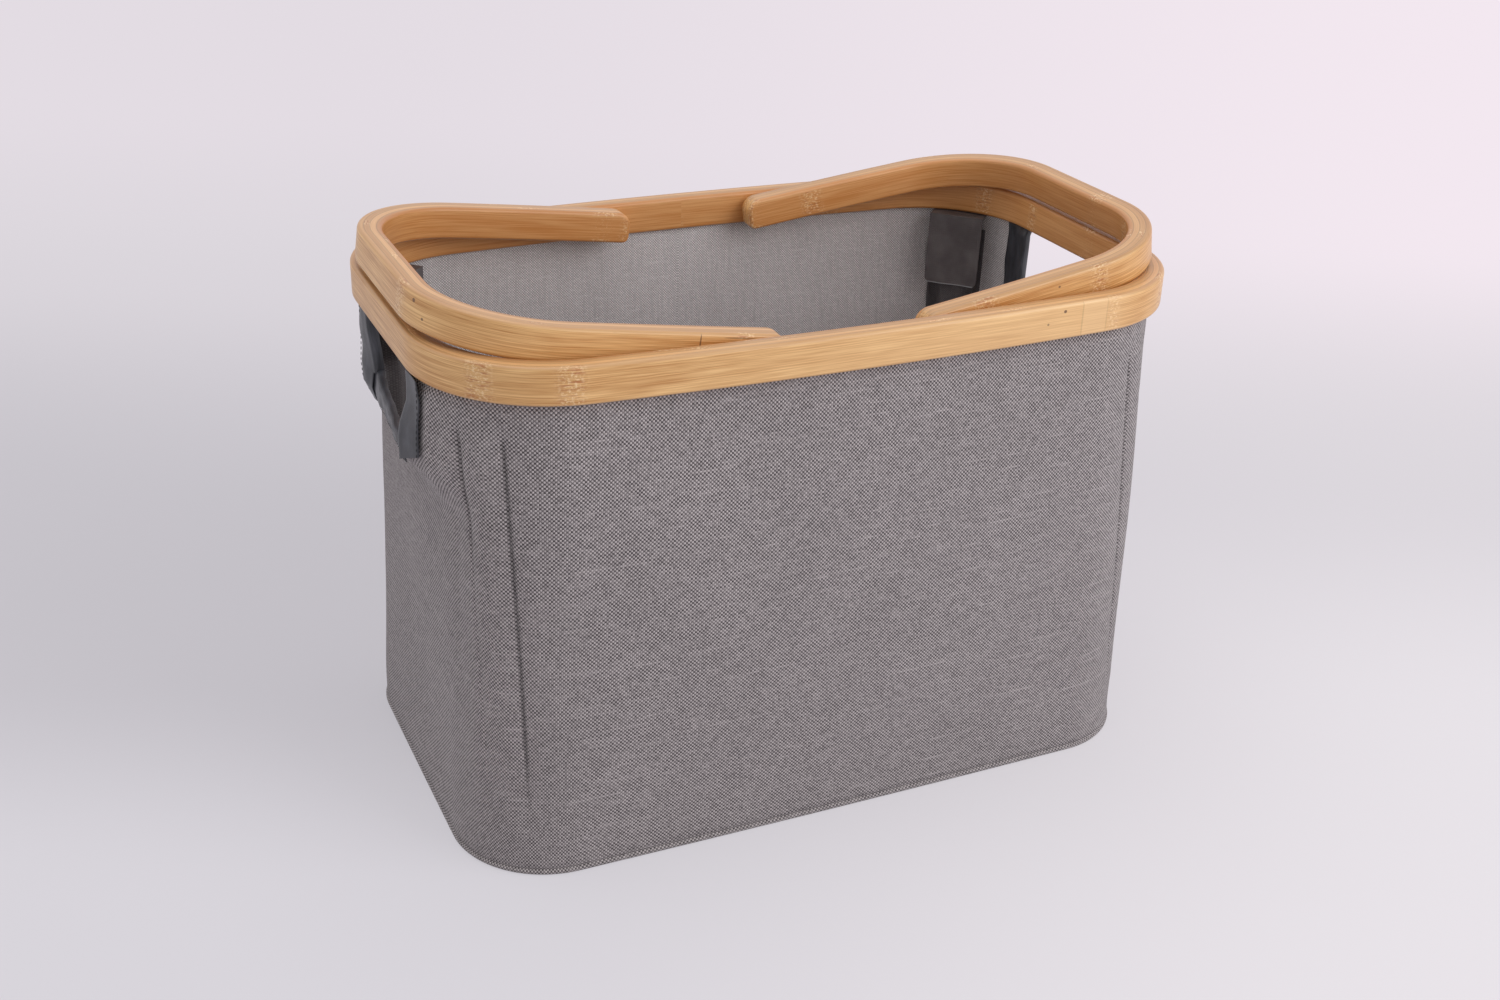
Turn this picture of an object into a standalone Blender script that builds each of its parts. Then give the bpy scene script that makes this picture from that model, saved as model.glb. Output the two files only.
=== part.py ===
"""Collapsible laundry basket.

A bent bamboo rim holds a two-layer fabric body by a groove in its underside. Two bent bamboo
handles swing on pins hidden between their arms and the rim. Four rods stand in fabric sleeves
at the corners and keep the walls up. A tab of hook-and-loop tape closes each sleeve.

Metres, +Z up, +X along the basket's length, -Y towards the front. The origin is the middle of
the underside.
"""
import math

import bmesh
import bpy
from mathutils import Matrix, Vector

# Rim: one bent and laminated strip. Its long sides are bowed outwards a little.
RIM_LENGTH = 0.440
RIM_WIDTH = 0.266
RIM_SIDE_BOW = 0.0099
RIM_END_BOW = 0.0003
RIM_CORNER_RADIUS = 0.0765
RIM_THICKNESS = 0.0125
RIM_HEIGHT = 0.020
RIM_TOP = 0.293
RIM_ARRIS = 0.0020

# Fabric body: an outer shell and a lining, nested, with a stiff board in the bottom.
WALL_INSET = 0.0065
SHELL_THICKNESS = 0.0008
LINING_THICKNESS = 0.0007
LAYER_GAP = 0.0004
HEM_RISE = 0.0045
HEM_TAPE_HEIGHT = 0.0015
BASE_LENGTH = 0.424
BASE_WIDTH = 0.257
BASE_SIDE_BOW = 0.0018
BASE_END_BOW = 0.0003
BASE_CORNER_RADIUS = 0.055
BOTTOM_EDGE_RADIUS = 0.006
BOTTOM_SEAM = 0.003
BOTTOM_THICKNESS = 0.0009
BOARD_THICKNESS = 0.0035
LINING_EDGE_RADIUS = 0.004

# Hand holes: one in each end wall, right under the rim, edged with a folded tape.
HOLE_WIDTH = 0.100
HOLE_DEPTH = 0.038
HOLE_CORNER_RADIUS = 0.006
BINDING_WIDTH = 0.019
BINDING_THICKNESS = 0.0006

# Handles: two bent strips whose arms lie inside the rim.
HANDLE_THICKNESS = 0.0135
HANDLE_HEIGHT = 0.0185
HANDLE_ARRIS = 0.0020
HANDLE_CORNER_RADIUS = 0.0726
HANDLE_SIDE_GAP = 0.0025
ARM_TAIL = 0.009
ARM_END_TOP_RADIUS = 0.0085
ARM_END_BOTTOM_RADIUS = 0.0040
PIVOT_SPACING = 0.098
WOOD_UNDER_BORE = 0.0011
PIN_RADIUS = 0.0020
PIN_DEPTH = 0.0080
WASHER_RADIUS = 0.0065
WASHER_BORE_RADIUS = 0.0024

# Corner rods: light metal tubes with plastic ends, and what holds them.
ROD_RADIUS = 0.0035
ROD_BORE_RADIUS = 0.0025
CAP_WALL = 0.0008
CAP_SKIRT = 0.012
ROD_HEAD_ROOM = 0.0025
ROD_HEAD_STANDOFF = 0.0010
ROD_FOOT_STANDOFF = 0.0054
SLEEVE_THICKNESS = 0.0010
SLEEVE_SEAM_HALF_WIDTH = 0.0140
SLEEVE_SEAM_ALLOWANCE = 0.0035
SLEEVE_FRONT_HALF_WIDTH = 0.0080
SLEEVE_BELOW_RIM = 0.011
PATCH_THICKNESS = 0.0010
PATCH_HALF_WIDTH = 0.0075
PATCH_BELOW_RIM = 0.0160
PATCH_HEIGHT = 0.026
FLAP_THICKNESS = 0.0012
FLAP_HALF_WIDTH = 0.0175
FLAP_HEIGHT = 0.047
HEADER_THICKNESS = 0.0008

# Clearance between pieces that touch, and how far a cutter runs past what it cuts.
GAP = 0.0003
CUT_OVERRUN = 0.004

# Counts.
CORNER_STEPS = 10
SIDE_STEPS = 8
END_STEPS = 2
ARRIS_STEPS = 2
ROUND_STEPS = 16
ROD_STEPS = 12
DOME_STEPS = 3
BINDING_STEPS = 4

RIM_BOTTOM = RIM_TOP - RIM_HEIGHT
GROOVE_DEPTH = HEM_RISE + HEM_TAPE_HEIGHT + 2 * GAP
BORE_RADIUS = PIN_RADIUS + GAP
PIVOT_X = PIVOT_SPACING / 2
PIVOT_Z = RIM_BOTTOM + GROOVE_DEPTH + WOOD_UNDER_BORE + BORE_RADIUS
LINING_INSET = SHELL_THICKNESS + LAYER_GAP
WALL_DEPTH = LINING_INSET + LINING_THICKNESS
GROOVE_WIDTH = WALL_DEPTH + 2 * GAP
HEM_TOP = RIM_BOTTOM + HEM_RISE
BOARD_BOTTOM = BOTTOM_THICKNESS + GAP
BOARD_TOP = BOARD_BOTTOM + BOARD_THICKNESS
FLOOR_BOTTOM = BOARD_TOP + GAP
FLOOR_TOP = FLOOR_BOTTOM + LINING_THICKNESS
CAP_BORE_RADIUS = ROD_RADIUS + GAP
CAP_RADIUS = CAP_BORE_RADIUS + CAP_WALL
ROD_FOOT_Z = FLOOR_TOP + GAP + CAP_RADIUS
ROD_HEAD_Z = RIM_BOTTOM - ROD_HEAD_ROOM - CAP_RADIUS
CORNER_ANGLE = math.radians(45)

CORNERS = {
    "front_left": (-1, -1),
    "front_right": (1, -1),
    "back_left": (-1, 1),
    "back_right": (1, 1),
}


class Outline:
    """A closed outline of eight arcs: two bowed sides, two bowed ends and four corners."""

    def __init__(self, length, width, side_bow, end_bow, corner_radius):
        self.side_radius = (length ** 2 / 4 + side_bow ** 2) / (2 * side_bow)
        self.end_radius = (width ** 2 / 4 + end_bow ** 2) / (2 * end_bow)
        self.corner_radius = corner_radius
        self.side_centre = Vector((0, width / 2 - self.side_radius))
        self.end_centre = Vector((length / 2 - self.end_radius, 0))
        self.corner_centre = self._corner_centre()
        from_side = self.corner_centre - self.side_centre
        from_end = self.corner_centre - self.end_centre
        self.side_angle = math.atan2(from_side.y, from_side.x)
        self.end_angle = math.atan2(from_end.y, from_end.x)

    def _corner_centre(self):
        """The point from which the corner's arc runs tangent into the side and the end."""
        side_reach = self.side_radius - self.corner_radius
        end_reach = self.end_radius - self.corner_radius
        between = self.end_centre - self.side_centre
        distance = between.length
        along = (side_reach ** 2 - end_reach ** 2 + distance ** 2) / (2 * distance)
        across = math.sqrt(side_reach ** 2 - along ** 2)
        foot = self.side_centre + between * (along / distance)
        square = Vector((-between.y, between.x)) / distance
        return max(foot + square * across, foot - square * across, key=lambda p: p.x + p.y)

    def side_arc(self, start_x, inset, steps):
        """Points of half the +Y side, from x = start_x to where the corner begins."""
        radius = self.side_radius - inset
        first = math.acos((start_x - self.side_centre.x) / radius)
        return [self._at(self.side_centre, radius, first + (self.side_angle - first) * k / steps)
                for k in range(steps + 1)]

    def corner_arc(self, inset, steps):
        """Points of the +X +Y corner, from the side to the end."""
        radius = self.corner_radius - inset
        turn = self.end_angle - self.side_angle
        return [self._at(self.corner_centre, radius, self.side_angle + turn * k / steps)
                for k in range(steps + 1)]

    def end_arc(self, inset, steps):
        """Points of the upper half of the +X end, from the corner to the middle."""
        radius = self.end_radius - inset
        return [self._at(self.end_centre, radius, self.end_angle * (1 - k / steps))
                for k in range(steps + 1)]

    def quarter(self, start_x, inset, side_steps):
        """The +X +Y quarter, from the side at start_x to the middle of the end."""
        points = self.side_arc(start_x, inset, side_steps)
        points += self.corner_arc(inset, CORNER_STEPS)[1:]
        points += self.end_arc(inset, END_STEPS // 2)[1:]
        return points

    def loop(self, inset=0):
        """The whole outline, moved inwards by inset."""
        quarter = self.quarter(0, inset, SIDE_STEPS // 2)
        right = quarter + [Vector((p.x, -p.y)) for p in reversed(quarter[:-1])]
        left = [Vector((-p.x, p.y)) for p in reversed(right[1:-1])]
        return right + left

    def depth(self, x, y):
        """How far a point lies inside the outline."""
        point = Vector((abs(x), abs(y)))
        from_corner = point - self.corner_centre
        angle = math.atan2(from_corner.y, from_corner.x)
        if self.end_angle <= angle <= self.side_angle:
            return self.corner_radius - from_corner.length
        if angle > self.side_angle:
            return self.side_radius - (point - self.side_centre).length
        return self.end_radius - (point - self.end_centre).length

    def end_x(self, y, inset):
        """Where the +X end or its corners lie at a given y."""
        corner_y = self.corner_centre.y
        corner_radius = self.corner_radius - inset
        if abs(y) > corner_y + corner_radius * math.sin(self.end_angle):
            return self.corner_centre.x + math.sqrt(corner_radius ** 2 - (abs(y) - corner_y) ** 2)
        return self.end_centre.x + math.sqrt((self.end_radius - inset) ** 2 - y ** 2)

    @staticmethod
    def _at(centre, radius, angle):
        return Vector((centre.x + radius * math.cos(angle), centre.y + radius * math.sin(angle)))


def blend(start, end, share):
    """The value a given share of the way from start to end."""
    return start + (end - start) * share


def wall_share(z):
    """How far up the fabric wall a height lies. Inside the rim the wall runs straight up."""
    return min(max(z / RIM_BOTTOM, 0), 1)


def wall_outline(z):
    """The wall's outline at a height: the base's at the bottom, the rim's at the top."""
    share = wall_share(z)
    return Outline(
        blend(BASE_LENGTH, RIM_LENGTH, share),
        blend(BASE_WIDTH, RIM_WIDTH, share),
        blend(BASE_SIDE_BOW, RIM_SIDE_BOW, share),
        blend(BASE_END_BOW, RIM_END_BOW, share),
        blend(BASE_CORNER_RADIUS, RIM_CORNER_RADIUS, share),
    )


def wall_inset(z):
    """How far the shell's outer face lies inside that outline."""
    return blend(0, WALL_INSET, wall_share(z))


def wall_loop(z, depth):
    """A level loop of points in the wall, at a depth behind the shell's outer face."""
    points = wall_outline(z).loop(wall_inset(z) + depth)
    return [Vector((p.x, p.y, z)) for p in points]


def finish(name, colour, roughness, metallic=0.0):
    """A plain painted, wooden, metal or woven finish."""
    material = bpy.data.materials.new(name)
    material.use_nodes = True
    shader = material.node_tree.nodes["Principled BSDF"]
    shader.inputs["Base Color"].default_value = (*colour, 1.0)
    shader.inputs["Roughness"].default_value = roughness
    shader.inputs["Metallic"].default_value = metallic
    return material


def object_from_bmesh(name, bm, material, smooth=True):
    """Close a bmesh into an object with outward faces."""
    bmesh.ops.recalc_face_normals(bm, faces=bm.faces)
    mesh = bpy.data.meshes.new(name)
    bm.to_mesh(mesh)
    bm.free()
    if smooth:
        mesh.shade_smooth()
        mesh.set_sharp_from_angle(angle=math.radians(35))
    if material is not None:
        mesh.materials.append(material)
    obj = bpy.data.objects.new(name, mesh)
    bpy.context.scene.collection.objects.link(obj)
    return obj


def loft(name, loops, material, ring=False, tube=True, smooth=True):
    """Skin a row of loops. A ring joins its last loop to its first; otherwise the ends are capped.

    tube says that each loop is closed. An open loop is a strip, and its two edges are capped.
    """
    bm = bmesh.new()
    rows = [[bm.verts.new(point) for point in loop] for loop in loops]
    count = len(rows[0])
    spans = count if tube else count - 1
    pairs = list(zip(rows, rows[1:]))
    if ring:
        pairs.append((rows[-1], rows[0]))
    for lower, upper in pairs:
        for k in range(spans):
            after = (k + 1) % count
            bm.faces.new((lower[k], lower[after], upper[after], upper[k]))
    if not ring:
        bm.faces.new(reversed(rows[0]))
        bm.faces.new(rows[-1])
    if not tube:
        bm.faces.new([row[0] for row in rows])
        bm.faces.new([row[-1] for row in reversed(rows)])
    return object_from_bmesh(name, bm, material, smooth)


def turned(name, profile, steps, material, closed):
    """Spin a profile of (radius, height) pairs about Z. An open profile ends on the axis."""
    bm = bmesh.new()
    verts = [bm.verts.new((radius, 0, height)) for radius, height in profile]
    edges = [bm.edges.new(pair) for pair in zip(verts, verts[1:])]
    if closed:
        edges.append(bm.edges.new((verts[-1], verts[0])))
    bmesh.ops.spin(bm, geom=verts + edges, cent=(0, 0, 0), axis=(0, 0, 1),
                   angle=math.tau, steps=steps, use_merge=True)
    bmesh.ops.remove_doubles(bm, verts=bm.verts, dist=GAP / 100)
    return object_from_bmesh(name, bm, material)


def rounded_section(width, height, radius):
    """A rectangle from (0, -height / 2) to (width, height / 2) with rounded corners."""
    points = []
    for corner, (x, y) in enumerate(((width - radius, -height / 2 + radius),
                                     (width - radius, height / 2 - radius),
                                     (radius, height / 2 - radius),
                                     (radius, -height / 2 + radius))):
        for k in range(ARRIS_STEPS + 1):
            angle = math.radians(90) * (corner - 1 + k / ARRIS_STEPS)
            points.append((x + radius * math.cos(angle), y + radius * math.sin(angle)))
    return points


def cut(obj, cutter):
    """Take a cutter's shape out of an object, and leave the cutter as a wire guide."""
    cutter.hide_render = True
    cutter.display_type = "WIRE"
    modifier = obj.modifiers.new("cut_" + cutter.name, "BOOLEAN")
    modifier.operation = "DIFFERENCE"
    modifier.object = cutter


def bore_cutter(name, radius, start_y, end_y, centre):
    """A round cutter along Y, between two distances from a centre."""
    profile = [(0, start_y), (radius, start_y), (radius, end_y), (0, end_y)]
    cutter = turned(name, profile, ROUND_STEPS, None, closed=False)
    cutter.matrix_world = Matrix.Translation(centre) @ Matrix.Rotation(math.radians(-90), 4, "X")
    return cutter


def set_origin(obj, point):
    """Move an object's origin to a point without moving its shape."""
    obj.data.transform(Matrix.Translation(-Vector(point)))
    obj.location = point


rim_outline = Outline(RIM_LENGTH, RIM_WIDTH, RIM_SIDE_BOW, RIM_END_BOW, RIM_CORNER_RADIUS)


def rim_surface(x, y):
    """Height of the rim's top surface over a point, or None where the rim doesn't reach."""
    depth = rim_outline.depth(x, y)
    inward = min(depth, RIM_THICKNESS - depth)
    if inward < 0:
        return None
    drop = RIM_ARRIS - min(inward, RIM_ARRIS)
    return RIM_TOP - RIM_ARRIS + math.sqrt(RIM_ARRIS ** 2 - drop ** 2)


def rim_side_y(x, depth):
    """Where the rim's +Y side lies at x, at a depth inside its outer face."""
    radius = rim_outline.side_radius - depth
    return rim_outline.side_centre.y + math.sqrt(radius ** 2 - x ** 2)


# The handle's outline is drawn flat about the basket's middle. It is as long as the rim's, and
# its arms lie inside the rim's sides with the same bow.
handle_outline = Outline(
    RIM_LENGTH,
    RIM_WIDTH - 2 * (RIM_THICKNESS + HANDLE_SIDE_GAP),
    RIM_SIDE_BOW,
    RIM_END_BOW,
    HANDLE_CORNER_RADIUS,
)


def arm_end_stations():
    """Distances from the arm's free end at which its rounded end is drawn."""
    reach = ARM_END_TOP_RADIUS
    return [reach * (1 - math.cos(math.radians(90) * k / CORNER_STEPS * 2))
            for k in range(CORNER_STEPS // 2)]


def handle_half_path(inset):
    """The handle's path from the arm's free end to the middle of the bend, on the +Y side."""
    start = PIVOT_X - ARM_TAIL
    points = []
    for distance in arm_end_stations():
        x = start + distance
        radius = handle_outline.side_radius - inset
        points.append(Vector((x, handle_outline.side_centre.y + math.sqrt(radius ** 2 - x ** 2))))
    begin = start + ARM_END_TOP_RADIUS
    return points + handle_outline.quarter(begin, inset, SIDE_STEPS // 2)


def handle_path(inset):
    """The whole path, from the back arm's end round the bend to the front arm's end."""
    half = handle_half_path(inset)
    return half + [Vector((p.x, -p.y)) for p in reversed(half[:-1])]


def arm_limits(distance):
    """Lowest and highest a section may reach, a distance from the arm's free end."""
    top = HANDLE_HEIGHT / 2
    bottom = -HANDLE_HEIGHT / 2
    distance = max(distance, 0)
    if distance < ARM_END_TOP_RADIUS:
        run = ARM_END_TOP_RADIUS - distance
        top -= ARM_END_TOP_RADIUS - math.sqrt(ARM_END_TOP_RADIUS ** 2 - run ** 2)
    if distance < ARM_END_BOTTOM_RADIUS:
        run = ARM_END_BOTTOM_RADIUS - distance
        bottom += ARM_END_BOTTOM_RADIUS - math.sqrt(ARM_END_BOTTOM_RADIUS ** 2 - run ** 2)
    return bottom, top


def handle_rest_angle():
    """The least tilt at which the whole underside of the handle clears the rim."""
    underside = [(inset, lift) for inset, lift in
                 rounded_section(HANDLE_THICKNESS, HANDLE_HEIGHT, HANDLE_ARRIS) if lift < 0]
    low, high = 0.0, math.radians(30)
    for _ in range(30):
        angle = (low + high) / 2
        clear = True
        for inset, lift in underside:
            for point in handle_half_path(inset):
                arm = point.x - PIVOT_X
                x = PIVOT_X + arm * math.cos(angle) - lift * math.sin(angle)
                z = PIVOT_Z + arm * math.sin(angle) + lift * math.cos(angle)
                surface = rim_surface(x, point.y)
                if surface is not None and arm > 0 and z < surface + GAP:
                    clear = False
        if clear:
            high = angle
        else:
            low = angle
    return high


def make_rim(bamboo):
    """The rim: a rounded section with a groove in its underside, carried round the outline."""
    middle = RIM_BOTTOM + RIM_HEIGHT / 2
    section = rounded_section(RIM_THICKNESS, RIM_HEIGHT, RIM_ARRIS)
    groove_start = WALL_INSET - GAP
    groove_end = groove_start + GROOVE_WIDTH
    groove = [(groove_start, -RIM_HEIGHT / 2), (groove_start, -RIM_HEIGHT / 2 + GROOVE_DEPTH),
              (groove_end, -RIM_HEIGHT / 2 + GROOVE_DEPTH), (groove_end, -RIM_HEIGHT / 2)]
    loops = []
    for inset, lift in section + groove:
        loops.append([Vector((p.x, p.y, middle + lift)) for p in rim_outline.loop(inset)])
    rim = loft("rim_ring", loops, bamboo, ring=True)
    for corner, (side, face) in CORNERS.items():
        inner = rim_side_y(PIVOT_X, RIM_THICKNESS)
        centre = (side * PIVOT_X, 0, PIVOT_Z)
        span = sorted((face * (inner - CUT_OVERRUN), face * (inner + PIN_DEPTH + GAP)))
        cut(rim, bore_cutter("rim_bore_" + corner, BORE_RADIUS, *span, centre))
    return rim


def make_handle(name, side, bamboo):
    """A bent handle with rounded arm ends and a blind bore in each arm."""
    section = rounded_section(HANDLE_THICKNESS, HANDLE_HEIGHT, HANDLE_ARRIS)
    paths = [handle_path(inset) for inset, _ in section]
    start = PIVOT_X - ARM_TAIL
    loops = []
    for station in range(len(paths[0])):
        loop = []
        for path, (_, lift) in zip(paths, section):
            point = path[station]
            bottom, top = arm_limits(point.x - start)
            height = min(max(lift, bottom), top)
            loop.append(Vector((side * (point.x - PIVOT_X), point.y, height)))
        loops.append(loop)
    handle = loft(name, loops, bamboo)
    handle.location = (side * PIVOT_X, 0, PIVOT_Z)
    handle.rotation_euler = (0, -side * handle_rest_angle(), 0)
    outer = handle_outline.side_centre.y + handle_outline.side_radius
    for word, face in (("front", -1), ("back", 1)):
        span = sorted((face * (outer - PIN_DEPTH - GAP), face * (outer + CUT_OVERRUN)))
        centre = (side * PIVOT_X, 0, PIVOT_Z)
        cut(handle, bore_cutter(f"{name}_bore_{word}", BORE_RADIUS, *span, centre))
    return handle


def make_pivot(corner, side, face, steel, nylon):
    """A headless pin, blind in the rim and in the arm, with a washer in the gap between them."""
    rim_face = rim_side_y(PIVOT_X, RIM_THICKNESS)
    arm_face = rim_face - HANDLE_SIDE_GAP
    profile = [(0, arm_face - PIN_DEPTH + GAP), (PIN_RADIUS, arm_face - PIN_DEPTH + GAP),
               (PIN_RADIUS, rim_face + PIN_DEPTH), (0, rim_face + PIN_DEPTH)]
    pin = turned("pivot_pin_" + corner, profile, ROUND_STEPS, steel, closed=False)
    washer_profile = [(WASHER_BORE_RADIUS, arm_face + GAP), (WASHER_RADIUS, arm_face + GAP),
                      (WASHER_RADIUS, rim_face - GAP), (WASHER_BORE_RADIUS, rim_face - GAP)]
    washer = turned("pivot_washer_" + corner, washer_profile, ROUND_STEPS, nylon, closed=True)
    turn = Matrix.Rotation(math.radians(-90) * face, 4, "X")
    for piece in (pin, washer):
        piece.matrix_world = Matrix.Translation((side * PIVOT_X, 0, PIVOT_Z)) @ turn


def edge_curl(radius, depth, floor, steps=3):
    """Heights and depths of a wall that curls inwards round its bottom edge, top to bottom."""
    curl = []
    for k in range(steps + 1):
        angle = math.radians(90) * k / steps
        curl.append((floor + radius * (1 - math.sin(angle)), depth + radius * (1 - math.cos(angle))))
    return curl


def wall_levels(bottom):
    """Heights at which a wall is drawn, from the hem down to just over its curled edge."""
    steps = 4
    return [HEM_TOP, RIM_BOTTOM] + [blend(RIM_BOTTOM, bottom, k / steps) for k in range(1, steps)]


def wall_layer(name, depth, thickness, radius, floor, material):
    """One layer of the fabric body: a wall whose bottom edge curls in to a narrow seam."""
    levels = wall_levels(floor + radius)
    outside = [(z, depth) for z in levels]
    outside += edge_curl(radius, depth, floor)
    outside.append((floor, depth + radius + BOTTOM_SEAM))
    inside = [(z, depth + thickness) for z in levels]
    inside += [(z + thickness, d + thickness) for z, d in
               edge_curl(radius - thickness, depth, floor)]
    inside.append((floor + thickness, depth + radius + BOTTOM_SEAM))
    loops = [wall_loop(z, d) for z, d in outside + inside[::-1]]
    return loft(name, loops, material, ring=True)


def plate(name, bottom, top, depth, material):
    """A flat sheet that follows the base's outline."""
    level = wall_outline(bottom)
    loops = []
    for z in (bottom, top):
        loops.append([Vector((p.x, p.y, z)) for p in level.loop(wall_inset(bottom) + depth)])
    return loft(name, loops, material, smooth=False)


def hole_path(steps=5):
    """The hand hole's edge in the end wall, as (point, outward direction) pairs of (y, z)."""
    half = HOLE_WIDTH / 2
    floor = RIM_BOTTOM - HOLE_DEPTH
    centre = Vector((half - HOLE_CORNER_RADIUS, floor + HOLE_CORNER_RADIUS))
    right = [(Vector((half, RIM_BOTTOM - GAP)), Vector((1, 0)))]
    for k in range(steps + 1):
        angle = math.radians(-90) * k / steps
        outward = Vector((math.cos(angle), math.sin(angle)))
        right.append((centre + outward * HOLE_CORNER_RADIUS, outward))
    right.append((Vector((0, floor)), Vector((0, -1))))
    left = [(Vector((-p.x, p.y)), Vector((-d.x, d.y))) for p, d in reversed(right[:-1])]
    return right + left


def make_hole_cutter():
    """A bar along X with the shape of a hand hole, long enough for both ends."""
    ends = []
    for x in (-RIM_LENGTH / 2 - CUT_OVERRUN, RIM_LENGTH / 2 + CUT_OVERRUN):
        edge = [Vector((x, p.x, p.y)) for p, _ in hole_path()]
        edge[0].z = HEM_TOP + CUT_OVERRUN
        edge[-1].z = HEM_TOP + CUT_OVERRUN
        ends.append(edge)
    return loft("hand_hole_cutter", ends, None, smooth=False)


def make_binding(name, side, tape):
    """Tape folded over the edge of a hand hole, a channel that follows the end wall."""
    lip = GAP + BINDING_THICKNESS
    outer = -LAYER_GAP - BINDING_THICKNESS
    inner = WALL_DEPTH + LAYER_GAP + BINDING_THICKNESS

    def strip(start, depth):
        return [(blend(start, BINDING_WIDTH, k / BINDING_STEPS), depth)
                for k in range(BINDING_STEPS + 1)]

    section = strip(-lip, outer) + strip(-GAP, -LAYER_GAP)[::-1]
    section += strip(-GAP, WALL_DEPTH + LAYER_GAP) + strip(-lip, inner)[::-1]
    loops = []
    for point, outward in hole_path():
        loop = []
        for across, depth in section:
            place = point + outward * across
            x = wall_outline(place.y).end_x(place.x, wall_inset(place.y) + depth)
            loop.append(Vector((side * x, place.x, place.y)))
        loops.append(loop)
    return loft(name, loops, tape, smooth=False)


class CornerFrame:
    """Places near a corner: t runs along the wall, r out from the corner's centre."""

    def __init__(self, side, face):
        self.side = side
        self.face = face

    def centre(self, z):
        middle = wall_outline(z).corner_centre
        return Vector((middle.x, middle.y))

    def lining_radius(self, z):
        return wall_outline(z).corner_radius - wall_inset(z) - WALL_DEPTH

    def point(self, t, r, z):
        along = Vector((-math.sin(CORNER_ANGLE), math.cos(CORNER_ANGLE)))
        out = Vector((math.cos(CORNER_ANGLE), math.sin(CORNER_ANGLE)))
        place = self.centre(z) + along * t + out * r
        return Vector((self.side * place.x, self.face * place.y, z))

    def on_lining(self, t, z, gap):
        """A point a given gap off the lining, t along the chord."""
        radius = self.lining_radius(z) - gap
        return self.point(t, math.sqrt(radius ** 2 - t ** 2), z)

    def rod_axis(self, z):
        """The rod's centre at a height, as (t, r) in this corner's frame at that height."""
        head_r = self.lining_radius(ROD_HEAD_Z) - ROD_HEAD_STANDOFF - CAP_RADIUS
        foot_r = self.lining_radius(ROD_FOOT_Z) - ROD_FOOT_STANDOFF - CAP_RADIUS
        head = self.point(0, head_r, ROD_HEAD_Z)
        foot = self.point(0, foot_r, ROD_FOOT_Z)
        place = foot.lerp(head, (z - ROD_FOOT_Z) / (ROD_HEAD_Z - ROD_FOOT_Z))
        from_centre = Vector((self.side * place.x, self.face * place.y)) - self.centre(z)
        along = Vector((-math.sin(CORNER_ANGLE), math.cos(CORNER_ANGLE)))
        out = Vector((math.cos(CORNER_ANGLE), math.sin(CORNER_ANGLE)))
        return from_centre.dot(along), from_centre.dot(out)

    def rod_point(self, z):
        t, r = self.rod_axis(z)
        return self.point(t, r, z)

    def sleeve_front(self, z):
        """The rod side of the sleeve's front, as (t, r)."""
        t, r = self.rod_axis(z)
        return t, r - CAP_RADIUS - GAP

    def slab(self, name, half_width, from_front, thickness, bottom, top, material):
        """A thin piece that lies parallel to the sleeve's front, further into the basket."""
        loops = []
        for z in (bottom, top):
            t, r = self.sleeve_front(z)
            near = r - SLEEVE_THICKNESS - from_front
            loops.append([self.point(t - half_width, near, z), self.point(t + half_width, near, z),
                          self.point(t + half_width, near - thickness, z),
                          self.point(t - half_width, near - thickness, z)])
        return loft(name, loops, material, smooth=False)


def make_sleeve(corner, frame, cloth):
    """A fabric pocket sewn to the lining along two upright seams, standing off round the rod."""
    top = RIM_BOTTOM - SLEEVE_BELOW_RIM
    bottom = FLOOR_BOTTOM + LINING_EDGE_RADIUS + LAYER_GAP
    seam = SLEEVE_SEAM_HALF_WIDTH
    hem = seam + SLEEVE_SEAM_ALLOWANCE
    levels = 3
    loops = []
    for k in range(levels + 1):
        z = blend(bottom, top, k / levels)
        t, r = frame.sleeve_front(z)
        near = [frame.on_lining(-hem, z, LAYER_GAP), frame.on_lining(-seam, z, LAYER_GAP),
                frame.point(t - SLEEVE_FRONT_HALF_WIDTH, r, z),
                frame.point(t + SLEEVE_FRONT_HALF_WIDTH, r, z),
                frame.on_lining(seam, z, LAYER_GAP), frame.on_lining(hem, z, LAYER_GAP)]
        off = LAYER_GAP + SLEEVE_THICKNESS
        far = [frame.on_lining(-hem, z, off), frame.on_lining(-seam, z, off),
               frame.point(t - SLEEVE_FRONT_HALF_WIDTH, r - SLEEVE_THICKNESS, z),
               frame.point(t + SLEEVE_FRONT_HALF_WIDTH, r - SLEEVE_THICKNESS, z),
               frame.on_lining(seam, z, off), frame.on_lining(hem, z, off)]
        loops.append(near + far[::-1])
    return loft("rod_sleeve_" + corner, loops, cloth, smooth=False)


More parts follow.
